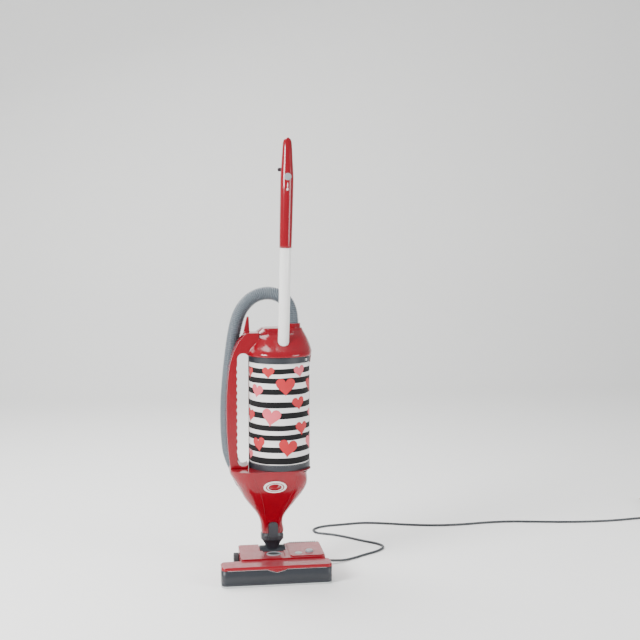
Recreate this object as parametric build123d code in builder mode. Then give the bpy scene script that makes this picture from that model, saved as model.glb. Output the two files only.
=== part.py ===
"""Slim upright vacuum cleaner with a swivel power head, modelled as its separate pieces.

Millimetres, +Z up, front towards -Y. The origin is on the floor, under the middle of the
object's box (without its mains lead). The floor head is the root. The knuckle tips back on
the head, and the body turns on the knuckle.
"""
from build123d import *
import os
from math import atan2, cos, degrees, pi, radians, sin, sqrt, tan

os.makedirs("parts", exist_ok=True)

# ---------------------------------------------------------------- driving sizes
WALL = 2.6               # moulded shells
FIT = 0.3                # room between pieces that only sit together
RUN = 0.05               # radial room of a shaft in its bearing

HEAD_W = 310.0           # floor head, across
BAR_FRONT = -118.0       # its front face
BAR_DEPTH = 62.0         # the brush bar's housing
BAR_CORNER = 14.0
BAR_TOP = 57.0
VISOR_TOP = 50.0         # joint between the dark visor and the red cover
SOLE_BOTTOM = 2.0        # the head rides this high on its glides
SOLE_T = 3.0
DECK_LEFT = -97.0        # the motor deck behind the bar, wider on the belt's side
DECK_RIGHT = 143.0
DECK_REAR = 77.0
DECK_CORNER = 10.0
DECK_TOP = 62.0
BLOCK_RISE = 3.0         # the right-hand block stands above the deck
VALLEY_HALF = 30.0       # the lower strip in the middle
VALLEY_DEEP = 3.0
LOUVRES = 14

PIVOT_Y = 40.0           # tipping axis of the neck
PIVOT_Z = 50.0
BARREL_R = 20.0
CHANNEL_HALF = 37.0      # slot in the deck that the neck tips back through
PIN_R = 6.0
NECK_TOP = 92.0
SPIGOT_R = 22.0          # the body turns on this
SPIGOT_BORE = 15.0
SPIGOT_TOP = 126.0

BRUSH_Y = -88.0
BRUSH_Z = 26.0
BRUSH_CORE_R = 17.0
BRISTLE_R = 25.0
BRUSH_HALF = 118.0       # half the roller's length
BRUSH_PULLEY_R = 14.0
MOTOR_PULLEY_R = 8.0
BRUSH_MOTOR_R = 19.0
BRUSH_MOTOR_Y = -2.0
BRUSH_MOTOR_Z = 30.0
BELT_X = 129.0
BELT_W = 8.0
BELT_T = 2.0

WHEEL_R = 24.0
WHEEL_W = 14.0
WHEEL_Y = 48.0
HUB_R = 15.0
AXLE_R = 4.0
LEFT_WHEEL_X = -104.6
RIGHT_WHEEL_X = 126.0

CORE_X = 20.0            # axis of the round bag housing
CORE_Y = 21.0
CORE_R = 88.0
HOUSING_BOTTOM = 113.0
HOUSING_TOP = 310.0
COVER_TOP = 631.0        # top of the pull-off filter cover
SPLIT_Y = 46.0           # front and rear shells meet here
MOTOR_R = 46.0           # suction motor
MOTOR_X = -2.0
MOTOR_Y = 30.0
MOTOR_BOTTOM = 228.0
MOTOR_TOP = 296.0
TUB_R = 60.0             # bag tub
TUB_TOP = 555.0
RIM_H = 16.4
DOME_TOP = 706.0
REAR_Y = 118.0           # the furthest piece to the rear, the lower lead hook

RAIL_OUT = -132.0        # carry handle on the left
RAIL_IN = -101.0
RAIL_FRONT = -12.0
WINDOW_RIGHT = -68.0
WINDOW_LOW = 316.0
WINDOW_HIGH = 639.0
GRIP_SCALLOPS = 13

TUBE_R = 15.9
TUBE_X = 26.0
TUBE_Y = -24.0
TUBE_FOOT = 575.0        # the tube's lower end, inside its socket
TUBE_LEAN = 1.4          # degrees, to the right going up
TUBE_LEN = 525.0
SOCKET_WALL = 4.0
GRIP_LOW = 360.0         # handle shell, measured up the tube
GRIP_LEN = 307.0
BUTTON_H = 557.0
BUTTON_R = 10.0

HOSE_R = 19.5
COLLAR_X = 62.0
COLLAR_Y = 55.0

CORD_R = 3.6
GLAND_Y = 58.0
GLAND_Z = 10.5
GLAND_LEN = 28.0
COIL_X = 1428.0
COIL_Y = 455.0
COIL_R = 57.5            # middle of the turns
COIL_HALF = 13.5         # half the bundle's width
COIL_H = 26.0
PLUG_R = 18.5
PLUG_PIN_R = 2.4
PLUG_PIN_LEN = 19.0
PLUG_PIN_GAP = 19.0
PLUG_SHANK_R = 1.9
PLUG_SHANK_LEN = 8.0

# ---------------------------------------------------------------- worked-out places
BAR_MID = BAR_FRONT + BAR_DEPTH / 2
SOLE_TOP = SOLE_BOTTOM + SOLE_T
BAR_REAR = BAR_FRONT + BAR_DEPTH
DECK_FRONT = BAR_REAR - 5.5
CHANNEL_FRONT = PIVOT_Y - BARREL_R - 8.0
BLOCK_LEFT = VALLEY_HALF + 14.0
BLOCK_TOP = DECK_TOP + BLOCK_RISE
CHAMBER_BOTTOM = HOUSING_TOP + FIT
HANDLE = Plane(
    origin=(TUBE_X, TUBE_Y, TUBE_FOOT),
    x_dir=(cos(radians(TUBE_LEAN)), 0, -sin(radians(TUBE_LEAN))),
    z_dir=(sin(radians(TUBE_LEAN)), 0, cos(radians(TUBE_LEAN))),
)


# ---------------------------------------------------------------- shared outlines
def bar_outline(height, inset=0.0):
    """Plan of the brush bar's housing, drawn inset from its skin."""
    with BuildSketch(Plane.XY.offset(height)) as outline:
        with Locations((0, BAR_MID)):
            RectangleRounded(HEAD_W - 2 * inset, BAR_DEPTH - 2 * inset, BAR_CORNER - inset)
    return outline.sketch


def deck_outline(height, inset=0.0):
    """Plan of the motor deck, drawn inset from its skin."""
    with BuildSketch(Plane.XY.offset(height)) as outline:
        with Locations(((DECK_LEFT + DECK_RIGHT) / 2, (DECK_FRONT + DECK_REAR) / 2)):
            RectangleRounded(
                DECK_RIGHT - DECK_LEFT - 2 * inset,
                DECK_REAR - DECK_FRONT - 2 * inset,
                DECK_CORNER - inset,
            )
    return outline.sketch


def plan(height, left, right, front, back, front_radius, back_radius):
    """A rounded plan outline between four sides, for the lofted shells."""
    with BuildSketch(Plane.XY.offset(height)) as outline:
        with Locations(((left + right) / 2, (front + back) / 2)):
            Rectangle(right - left, back - front)
        fillet(outline.vertices().group_by(Axis.Y)[0], front_radius)
        fillet(outline.vertices().group_by(Axis.Y)[-1], back_radius)
    return outline.sketch


def core_ring(height, outer, inner):
    """Plan of a ring about the bag housing's axis."""
    with BuildSketch(Plane.XY.offset(height)) as ring:
        with Locations((CORE_X, CORE_Y)):
            Circle(outer)
            Circle(inner, mode=Mode.SUBTRACT)
    return ring.sketch


def front_half(height, outer, inner):
    """The front half of such a ring, clear of the rear shell."""
    with BuildSketch(Plane.XY.offset(height)) as ring:
        with Locations((CORE_X, CORE_Y)):
            Circle(outer)
            Circle(inner, mode=Mode.SUBTRACT)
        with Locations((CORE_X, CORE_Y - FIT - outer)):
            Rectangle(3 * outer, 2 * outer, mode=Mode.INTERSECT)
    return ring.sketch


def along(start, direction):
    """A plane at a point, facing along a direction."""
    return Plane(origin=start, z_dir=direction)


def corner_radii(points):
    """The largest tangent arcs that a route's runs allow: 0.45 of the shorter run."""
    radii = []
    for before, here, after in zip(points, points[1:], points[2:]):
        run_in = Vector(*here) - Vector(*before)
        run_out = Vector(*after) - Vector(*here)
        shorter = min(run_in.length, run_out.length)
        turn = radians(run_in.get_angle(run_out))
        radii.append(0.45 * shorter / tan(turn / 2))
    return radii


# ================================================================ FLOOR HEAD (root)
# The sole: one plate under bar and deck, with the brush window and the wheels' openings.
with BuildPart() as sole_plate:
    extrude(bar_outline(SOLE_BOTTOM, WALL + FIT), amount=SOLE_T)
    extrude(deck_outline(SOLE_BOTTOM, FIT), amount=SOLE_T - FIT)
    with Locations((0, BRUSH_Y, SOLE_BOTTOM + SOLE_T / 2)):
        Box(2 * BRUSH_HALF + 8, 2 * BRISTLE_R - 8, 2 * SOLE_T, mode=Mode.SUBTRACT)
    with Locations((RIGHT_WHEEL_X, WHEEL_Y, SOLE_BOTTOM)):
        Box(WHEEL_W + 4, 2 * WHEEL_R + 4, 4 * SOLE_T, mode=Mode.SUBTRACT)
    with Locations((0, (CHANNEL_FRONT + DECK_REAR) / 2 + 16, SOLE_BOTTOM)):
        Box(2 * CHANNEL_HALF, DECK_REAR - CHANNEL_FRONT, 4 * SOLE_T, mode=Mode.SUBTRACT)
sole_plate.part.label = "sole_plate"
export_step(sole_plate.part, "parts/sole_plate.step")

# Two felt-faced glides under the front lip carry the head with the two rear wheels.
GLIDE_X = 105.0
GLIDE_Y = BRUSH_Y - BRISTLE_R + 0.5
with BuildPart() as front_glides:
    with BuildSketch(Plane.XY) as glide_plan:
        with Locations((-GLIDE_X, GLIDE_Y), (GLIDE_X, GLIDE_Y)):
            SlotOverall(46, 4.6)
    extrude(amount=SOLE_BOTTOM)
front_glides.part.label = "front_glides"
export_step(front_glides.part, "parts/front_glides.step")

# A pale soft strip runs round the bottom edge of the bar.
with BuildPart() as bumper_strip:
    extrude(bar_outline(1.0), amount=SOLE_TOP - 1.0)
    extrude(bar_outline(1.0, WALL), amount=SOLE_TOP, mode=Mode.SUBTRACT)
    extrude(deck_outline(0.0, -FIT), amount=SOLE_TOP + 1, mode=Mode.SUBTRACT)
bumper_strip.part.label = "bumper_strip"
export_step(bumper_strip.part, "parts/bumper_strip.step")

# The dark visor closes the bar's front and ends.
with BuildPart() as front_visor:
    extrude(bar_outline(SOLE_TOP), amount=VISOR_TOP - SOLE_TOP)
    extrude(bar_outline(SOLE_TOP, WALL), amount=VISOR_TOP, mode=Mode.SUBTRACT)
    extrude(deck_outline(0.0, -FIT), amount=VISOR_TOP + 1, mode=Mode.SUBTRACT)
front_visor.part.label = "front_visor"
export_step(front_visor.part, "parts/front_visor.step")

# The red cover: the bar's lid and the motor deck in one moulding, open underneath.
PEDAL_Y = -12.0
PEDAL_W = 34.0
PEDAL_L = 26.0
RING_T = 4.0
LENS_X, LENS_Y = 69.0, -29.0
KNOB_X, KNOB_Y = 101.0, -21.0
DIAL_R = 10.5
with BuildPart() as head_cover:
    extrude(bar_outline(VISOR_TOP), amount=BAR_TOP - VISOR_TOP)
    fillet(head_cover.edges().group_by(Axis.Z)[-1], 5.0)
    extrude(deck_outline(SOLE_TOP), amount=DECK_TOP - SOLE_TOP)
    with BuildSketch(Plane.XY.offset(DECK_TOP)) as block_plan:
        with Locations(((BLOCK_LEFT + DECK_RIGHT - 2) / 2, (BAR_REAR + DECK_REAR) / 2)):
            RectangleRounded(DECK_RIGHT - 2 - BLOCK_LEFT, DECK_REAR - BAR_REAR - 4, DECK_CORNER)
    extrude(amount=BLOCK_RISE)
    with Locations((0, (BAR_REAR + DECK_REAR) / 2 + 6, DECK_TOP)):
        Box(2 * VALLEY_HALF, DECK_REAR - BAR_REAR, 2 * VALLEY_DEEP, mode=Mode.SUBTRACT)
    # the hollow of the bar and of the deck, with a pocket under the raised block
    ceiling = DECK_TOP - VALLEY_DEEP - WALL
    extrude(bar_outline(VISOR_TOP, WALL), amount=BAR_TOP - VISOR_TOP - WALL, mode=Mode.SUBTRACT)
    extrude(deck_outline(SOLE_TOP, WALL), amount=ceiling - SOLE_TOP, mode=Mode.SUBTRACT)
    # walls of the neck's channel, then the channel itself
    channel_mid = (CHANNEL_FRONT - WALL + DECK_REAR) / 2
    with Locations((0, channel_mid, (SOLE_TOP + ceiling) / 2)):
        Box(2 * (CHANNEL_HALF + WALL), DECK_REAR - CHANNEL_FRONT + WALL - 4, ceiling - SOLE_TOP)
    with Locations((0, (CHANNEL_FRONT + DECK_REAR) / 2 + 8, BAR_TOP)):
        Box(2 * CHANNEL_HALF, DECK_REAR - CHANNEL_FRONT + 16, 4 * BAR_TOP, mode=Mode.SUBTRACT)
    # air opening from the brush chamber, and the ways for the duct and the belt
    with Locations((0, 0, 22)):
        Box(44 + 2 * FIT, 3 * BAR_DEPTH, 26 + 2 * FIT, mode=Mode.SUBTRACT)
    with Locations((BELT_X, DECK_FRONT, 28)):
        Box(BELT_W + 6, 12, 46 + 2 * FIT, mode=Mode.SUBTRACT)
    # seats of the pedal ring, the lens and the knob
    with BuildSketch(Plane.XY.offset(ceiling - 1)) as seats:
        with Locations((0, PEDAL_Y)):
            Ellipse(PEDAL_W / 2 + RING_T + FIT, PEDAL_L / 2 + RING_T + FIT)
        with Locations((LENS_X, LENS_Y), (KNOB_X, KNOB_Y)):
            Circle(DIAL_R + FIT)
    extrude(amount=BLOCK_TOP, mode=Mode.SUBTRACT)
    # louvres along the rear edge of the raised block
    louvre_step = (DECK_RIGHT - BLOCK_LEFT - 24) / (LOUVRES - 1)
    with Locations(((BLOCK_LEFT + DECK_RIGHT) / 2, DECK_REAR - 4, BLOCK_TOP)):
        with GridLocations(louvre_step, 1, LOUVRES, 1):
            Box(3.4, 10, 9, mode=Mode.SUBTRACT)
    # holes for the trunnion pins, the axles and the lead's gland
    with Locations((0, PIVOT_Y, PIVOT_Z)):
        Cylinder(PIN_R + RUN, 2 * CHANNEL_HALF + 12, rotation=(0, 90, 0), mode=Mode.SUBTRACT)
    with Locations((DECK_LEFT, WHEEL_Y, WHEEL_R), (DECK_RIGHT, WHEEL_Y, WHEEL_R)):
        Cylinder(AXLE_R + RUN, 12, rotation=(0, 90, 0), mode=Mode.SUBTRACT)
    with Locations((DECK_RIGHT, GLAND_Y, GLAND_Z)):
        Cylinder(4.5, 12, rotation=(0, 90, 0), mode=Mode.SUBTRACT)
head_cover.part.label = "head_cover"
export_step(head_cover.part, "parts/head_cover.step")

# Chrome ring and dark pedal that lets the neck go.
with BuildPart() as pedal_ring:
    with BuildSketch(Plane.XY.offset(DECK_TOP - VALLEY_DEEP - WALL)) as ring_plan:
        with Locations((0, PEDAL_Y)):
            Ellipse(PEDAL_W / 2 + RING_T, PEDAL_L / 2 + RING_T)
            Ellipse(PEDAL_W / 2 + FIT, PEDAL_L / 2 + FIT, mode=Mode.SUBTRACT)
    extrude(amount=VALLEY_DEEP + WALL - 0.6)
    chamfer(pedal_ring.edges().group_by(Axis.Z)[-1], 0.8)
pedal_ring.part.label = "pedal_ring"
export_step(pedal_ring.part, "parts/pedal_ring.step")

with BuildPart() as release_pedal:
    with BuildSketch(Plane.XY.offset(DECK_TOP - 14)) as pedal_plan:
        with Locations((0, PEDAL_Y)):
            Ellipse(PEDAL_W / 2, PEDAL_L / 2)
    extrude(amount=12.4)
    fillet(release_pedal.edges().group_by(Axis.Z)[-1], 1.2)
release_pedal.part.label = "release_pedal"
export_step(release_pedal.part, "parts/release_pedal.step")

with BuildPart() as status_lens:
    with BuildSketch(Plane.XY.offset(DECK_TOP - VALLEY_DEEP - WALL)) as lens_plan:
        with Locations((LENS_X, LENS_Y)):
            Circle(DIAL_R)
    extrude(amount=BLOCK_RISE + VALLEY_DEEP + WALL + 0.8)
    fillet(status_lens.edges().group_by(Axis.Z)[-1], 0.7)
status_lens.part.label = "status_lens"
export_step(status_lens.part, "parts/status_lens.step")

KNOB_RISE = 6.0
with BuildPart() as brush_button:
    with BuildSketch(Plane.XY.offset(DECK_TOP - 8)) as knob_plan:
        with Locations((KNOB_X, KNOB_Y)):
            Circle(DIAL_R)
    extrude(amount=8 + BLOCK_RISE + KNOB_RISE)
    fillet(brush_button.edges().group_by(Axis.Z)[-1], 2.0)
brush_button.part.label = "brush_button"
export_step(brush_button.part, "parts/brush_button.step")

# Brush motor, its pulley and the belt to the roller's end.
MOTOR_LEFT = CHANNEL_HALF + WALL + 4
with BuildPart() as brush_motor:
    with BuildSketch(Plane.YZ.offset(MOTOR_LEFT)) as can_section:
        with Locations((BRUSH_MOTOR_Y, BRUSH_MOTOR_Z)):
            Circle(BRUSH_MOTOR_R)
    extrude(amount=BELT_X - BELT_W / 2 - 5 - MOTOR_LEFT)
    fillet(brush_motor.edges().filter_by(GeomType.CIRCLE), 3.0)
brush_motor.part.label = "brush_motor"
export_step(brush_motor.part, "parts/brush_motor.step")

with BuildPart() as motor_pulley:
    with BuildSketch(Plane.YZ.offset(BELT_X - BELT_W / 2 - 2)) as pulley_section:
        with Locations((BRUSH_MOTOR_Y, BRUSH_MOTOR_Z)):
            Circle(MOTOR_PULLEY_R)
    extrude(amount=BELT_W + 4)
    with BuildSketch(Plane.YZ.offset(BELT_X - BELT_W / 2 - 2)) as flange_section:
        with Locations((BRUSH_MOTOR_Y, BRUSH_MOTOR_Z)):
            Circle(MOTOR_PULLEY_R + 2)
    extrude(amount=1.2)
motor_pulley.part.label = "motor_pulley"
export_step(motor_pulley.part, "parts/motor_pulley.step")

with BuildPart() as drive_belt:
    with BuildSketch(Plane.YZ.offset(BELT_X - BELT_W / 2)) as belt_section:
        with Locations((BRUSH_MOTOR_Y, BRUSH_MOTOR_Z)):
            Circle(MOTOR_PULLEY_R + FIT + BELT_T)
        with Locations((BRUSH_Y, BRUSH_Z)):
            Circle(BRUSH_PULLEY_R + FIT + BELT_T)
        make_hull()
        with BuildSketch(Plane.XY) as belt_inside:
            with Locations((BRUSH_MOTOR_Y, BRUSH_MOTOR_Z)):
                Circle(MOTOR_PULLEY_R + FIT)
            with Locations((BRUSH_Y, BRUSH_Z)):
                Circle(BRUSH_PULLEY_R + FIT)
            make_hull()
        add(belt_inside.sketch, mode=Mode.SUBTRACT)
    extrude(amount=BELT_W)
drive_belt.part.label = "drive_belt"
export_step(drive_belt.part, "parts/drive_belt.step")

# Brush roller, with its belt end, journals and rows of tufts.
with BuildPart() as brush_roller:
    with BuildSketch(Plane.YZ.offset(-BRUSH_HALF)) as core_section:
        with Locations((BRUSH_Y, BRUSH_Z)):
            Circle(BRUSH_CORE_R)
    extrude(amount=2 * BRUSH_HALF)
    with BuildSketch(Plane.YZ.offset(BRUSH_HALF)) as end_section:
        with Locations((BRUSH_Y, BRUSH_Z)):
            Circle(BRUSH_PULLEY_R)
    extrude(amount=BELT_X + BELT_W / 2 + 1 - BRUSH_HALF)
    with BuildSketch(Plane.YZ.offset(-BRUSH_HALF - 12)) as journal_section:
        with Locations((BRUSH_Y, BRUSH_Z)):
            Circle(5.0)
    extrude(amount=BELT_X + BELT_W / 2 + 12 + 2 * BRUSH_HALF - BRUSH_HALF + 12)
brush_roller.part.label = "brush_roller"
export_step(brush_roller.part, "parts/brush_roller.step")

TUFTS_PER_ROW = 15
TUFT_ROWS = 4
with BuildPart() as brush_tufts:
    for row in range(TUFT_ROWS):
        for tuft in range(TUFTS_PER_ROW):
            share = tuft / (TUFTS_PER_ROW - 1)
            angle = radians(360 * row / TUFT_ROWS + 70 * share)
            radial = (0, cos(angle), sin(angle))
            across = (share - 0.5) * 2 * (BRUSH_HALF - 8)
            foot = (
                across,
                BRUSH_Y + (BRUSH_CORE_R + 0.05) * cos(angle),
                BRUSH_Z + (BRUSH_CORE_R + 0.05) * sin(angle),
            )
            with BuildSketch(along(foot, radial)) as tuft_section:
                Circle(2.6)
            extrude(amount=BRISTLE_R - BRUSH_CORE_R - 0.4)
brush_tufts.part.label = "brush_tufts"
export_step(brush_tufts.part, "parts/brush_tufts.step")

BEARING_OUT = 9.0
with BuildPart() as brush_bearings:
    for inner_face in (-BRUSH_HALF - 11.5, BELT_X + BELT_W / 2 + 4):
        with BuildSketch(Plane.YZ.offset(inner_face)) as bearing_section:
            with Locations((BRUSH_Y, BRUSH_Z)):
                Circle(BEARING_OUT)
                Circle(5.0 + RUN, mode=Mode.SUBTRACT)
        extrude(amount=7)
brush_bearings.part.label = "brush_bearings"
export_step(brush_bearings.part, "parts/brush_bearings.step")

# Air way from the brush chamber back to the neck.
with BuildPart() as suction_duct:
    duct_front = DECK_FRONT + WALL + 1
    duct_rear = CHANNEL_FRONT + 2
    with Locations((0, (duct_front + duct_rear) / 2, 22)):
        Box(44, duct_rear - duct_front, 26)
        Box(40, duct_rear - duct_front, 22, mode=Mode.SUBTRACT)
suction_duct.part.label = "suction_duct"
export_step(suction_duct.part, "parts/suction_duct.step")

with BuildPart() as control_board:
    with Locations(((DECK_LEFT - CHANNEL_HALF) / 2, 0, 30)):
        Box(44, 84, 1.6)
    with Locations(((DECK_LEFT - CHANNEL_HALF) / 2, -14, 30.8 + 7)):
        Box(26, 22, 14)
    with Locations(((DECK_LEFT - CHANNEL_HALF) / 2, 22, 30.8 + 5)):
        Cylinder(7, 10)
control_board.part.label = "control_board"
export_step(control_board.part, "parts/control_board.step")

with BuildPart() as trunnion_pins:
    for side in (-1, 1):
        with BuildSketch(Plane.YZ.offset(side * (CHANNEL_HALF - 10))) as pin_section:
            with Locations((PIVOT_Y, PIVOT_Z)):
                Circle(PIN_R)
        extrude(amount=side * (10 + WALL))
        with BuildSketch(Plane.YZ.offset(side * (CHANNEL_HALF + WALL))) as pin_head:
            with Locations((PIVOT_Y, PIVOT_Z)):
                Circle(PIN_R + 0.2)
        extrude(amount=side * 2)
trunnion_pins.part.label = "trunnion_pins"
export_step(trunnion_pins.part, "parts/trunnion_pins.step")

# Wheels: a hub with its tyre, on a short axle through the deck's flank.
WHEELS = (("left", LEFT_WHEEL_X, -1), ("right", RIGHT_WHEEL_X, 1))
for name, centre, side in WHEELS:
    with BuildPart() as wheel_hub:
        with BuildSketch(Plane.YZ.offset(centre - WHEEL_W / 2)) as hub_section:
            with Locations((WHEEL_Y, WHEEL_R)):
                Circle(HUB_R)
                Circle(AXLE_R + RUN, mode=Mode.SUBTRACT)
        extrude(amount=WHEEL_W)
    wheel_hub.part.label = f"{name}_wheel_hub"
    export_step(wheel_hub.part, f"parts/{name}_wheel_hub.step")
    with BuildPart() as wheel_tyre:
        with BuildSketch(Plane.YZ.offset(centre - WHEEL_W / 2)) as tyre_section:
            with Locations((WHEEL_Y, WHEEL_R)):
                Circle(WHEEL_R)
                Circle(HUB_R, mode=Mode.SUBTRACT)
        extrude(amount=WHEEL_W)
        tread = wheel_tyre.edges().filter_by(GeomType.CIRCLE).group_by(SortBy.RADIUS)[-1]
        fillet(tread, 2.0)
    wheel_tyre.part.label = f"{name}_tyre"
    export_step(wheel_tyre.part, f"parts/{name}_tyre.step")

with BuildPart() as wheel_axles:
    for centre, inner_end, outer_end in (
        (LEFT_WHEEL_X, DECK_LEFT + WALL + 8, LEFT_WHEEL_X - WHEEL_W / 2 - 1),
        (RIGHT_WHEEL_X, RIGHT_WHEEL_X - WHEEL_W / 2 - 3, DECK_RIGHT - 0.6),
    ):
        with BuildSketch(Plane.YZ.offset(min(inner_end, outer_end))) as axle_section:
            with Locations((WHEEL_Y, WHEEL_R)):
                Circle(AXLE_R)
        extrude(amount=abs(outer_end - inner_end))
wheel_axles.part.label = "wheel_axles"
export_step(wheel_axles.part, "parts/wheel_axles.step")

# Screws that hold the cover to the sole.
SCREW_SPOTS = ((-84, -46), (-84, 22), (84, 64), (60, 64), (96, -46), (-60, 64))
with BuildPart() as head_screws:
    with BuildSketch(Plane.XY.offset(SOLE_TOP + FIT)) as shank_plan:
        with Locations(*SCREW_SPOTS):
            Circle(1.7)
    extrude(amount=12)
    with BuildSketch(Plane.XY.offset(SOLE_TOP + FIT + 12)) as head_plan:
        with Locations(*SCREW_SPOTS):
            Circle(3.2)
    extrude(amount=2.2)
head_screws.part.label = "head_screws"
export_step(head_screws.part, "parts/head_screws.step")

# Strain relief of the mains lead on the deck's right flank.
with BuildPart() as lead_gland:
    with BuildSketch(Plane.YZ.offset(DECK_RIGHT)) as gland_root:
        with Locations((GLAND_Y, GLAND_Z)):
            Circle(6.4)
    with BuildSketch(Plane.YZ.offset(DECK_RIGHT + GLAND_LEN)) as gland_tip:
        with Locations((GLAND_Y, GLAND_Z)):
            Circle(CORD_R + 0.8)
    loft()
    with BuildSketch(Plane.YZ.offset(DECK_RIGHT - WALL - 3)) as gland_neck:
        with Locations((GLAND_Y, GLAND_Z)):
            Circle(4.4)
    extrude(amount=WALL + 3)
lead_gland.part.label = "lead_gland"
export_step(lead_gland.part, "parts/lead_gland.step")

# ================================================================ KNUCKLE
with BuildPart() as neck_knuckle:
    with BuildSketch(Plane.YZ.offset(-CHANNEL_HALF + 0.5)) as barrel_section:
        with Locations((PIVOT_Y, PIVOT_Z)):
            Circle(BARREL_R)
    extrude(amount=2 * CHANNEL_HALF - 1)
    with BuildSketch(Plane.XY.offset(PIVOT_Z)) as neck_foot:
        with Locations((0, PIVOT_Y)):
            RectangleRounded(36, 34, 12)
    with BuildSketch(Plane.XY.offset(PIVOT_Z + 18)) as neck_waist:
        with Locations((0, PIVOT_Y)):
            RectangleRounded(38, 36, 13)
    with BuildSketch(Plane.XY.offset(NECK_TOP)) as neck_head:
        with Locations((0, PIVOT_Y)):
            RectangleRounded(64, 58, 22)
    loft()
    with BuildSketch(Plane.XY.offset(NECK_TOP)) as spigot_plan:
        with Locations((0, PIVOT_Y)):
            Circle(SPIGOT_R)
    extrude(amount=SPIGOT_TOP - NECK_TOP)
    # air way: up through the neck, in from the barrel's front
    with BuildSketch(Plane.XY.offset(PIVOT_Z - 4)) as bore_plan:
        with Locations((0, PIVOT_Y)):
            Circle(SPIGOT_BORE)
    extrude(amount=SPIGOT_TOP, mode=Mode.SUBTRACT)
    with Locations((0, PIVOT_Y - 12, PIVOT_Z - 8)):
        Box(28, 24, 20, mode=Mode.SUBTRACT)
    with Locations((0, PIVOT_Y, PIVOT_Z)):
        Cylinder(PIN_R + RUN, 2 * CHANNEL_HALF, rotation=(0, 90, 0), mode=Mode.SUBTRACT)
neck_knuckle.part.label = "neck_knuckle"
export_step(neck_knuckle.part, "parts/neck_knuckle.step")

SLEEVE_TOP = HOUSING_BOTTOM - FIT
with BuildPart() as swivel_clip:
    with BuildSketch(Plane.XY.offset(SLEEVE_TOP + 4)) as clip_plan:
        with Locations((0, PIVOT_Y)):
            Circle(SPIGOT_R + 3.5)
            Circle(SPIGOT_R, mode=Mode.SUBTRACT)
    extrude(amount=3)
swivel_clip.part.label = "swivel_clip"
export_step(swivel_clip.part, "parts/swivel_clip.step")

# ================================================================ BODY
TONGUE_BACK = 7.4        # clear of the housing's front
# Dark sleeve that turns on the spigot, with the tongue up the front of the housing.
with BuildPart() as neck_sleeve:
    for height, width, depth, radius in (
        (NECK_TOP + FIT, 65.0, 59.0, 22.0),
        (NECK_TOP + 12, 65.0, 60.0, 22.0),
        (SLEEVE_TOP, 58.0, 56.0, 20.0),
    ):
        with BuildSketch(Plane.XY.offset(height)) as sleeve_plan:
            with Locations((0, PIVOT_Y)):
                RectangleRounded(width, depth, radius)
    loft(ruled=True)
    with BuildSketch(Plane.XY.offset(NECK_TOP)) as sleeve_bore:
        with Locations((0, PIVOT_Y)):
            Circle(SPIGOT_R + RUN)
    extrude(amount=SLEEVE_TOP, mode=Mode.SUBTRACT)
    with BuildSketch(Plane.XZ.offset(-TONGUE_BACK)) as tongue_face:
        with Locations((0, 125)):
            RectangleRounded(27, 44, 9)
    extrude(amount=6.4)
    with Locations((0, TONGUE_BACK + 2.5, SLEEVE_TOP - 5)):
        Box(27, 9, 10)
    with BuildSketch(Plane.XY.offset(NECK_TOP)) as sleeve_clear:
        with Locations((0, PIVOT_Y)):
            Circle(SPIGOT_R + RUN)
    extrude(amount=2 * NECK_TOP, mode=Mode.SUBTRACT)
neck_sleeve.part.label = "neck_sleeve"
export_step(neck_sleeve.part, "parts/neck_sleeve.step")

# Lower housing: height, left, right, front, front corner radius.
FRONT_PLANS = (
    (HOUSING_BOTTOM, -31, 31, 12, 14),
    (140, -34, 29, 10, 15),
    (165, -42, 33, 1, 18),
    (187, -56, 47, -11, 24),
    (210, -74, 64, -25, 32),
    (235, -89, 81, -40, 38),
    (270, -107, 96, -57, 46),
    (HOUSING_TOP, -122, 106, -67, 52),
)
# Its rear shell is narrower, which leaves room for the hose: height, left, right, back.
REAR_PLANS = (
    (HOUSING_BOTTOM, -31, 31, 68, 14),
    (140, -33, 29, 70, 15),
    (165, -38, 33, 75, 18),
    (187, -46, 47, 82, 24),
    (210, -54, 62, 90, 30),
    (235, -60, 76, 97, 36),
    (270, -66, 90, 104, 42),
    (HOUSING_TOP, -68, 104, 109, 48),
)


def inner_height(height):
    """The inside of a shell stops a wall short of its floor and its top."""
    if height == HOUSING_BOTTOM:
        return height + WALL
    if height == HOUSING_TOP:
        return height - WALL
    return height


def front_plan(row, inset):
    """One outline of the front shell, inset from its skin."""
    height, left, right, front, radius = row
    level = inner_height(height) if inset else height
    return plan(
        level, left + inset, right - inset, front + inset, SPLIT_Y - inset, radius - inset, 7 - inset
    )


def rear_plan(row, inset):
    """One outline of the rear shell, inset from its skin."""
    height, left, right, back, radius = row
    level = inner_height(height) if inset else height
    front = SPLIT_Y + FIT
    return plan(
        level, left + inset, right - inset, front + inset, back - inset, 7 - inset, radius - inset
    )


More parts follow.
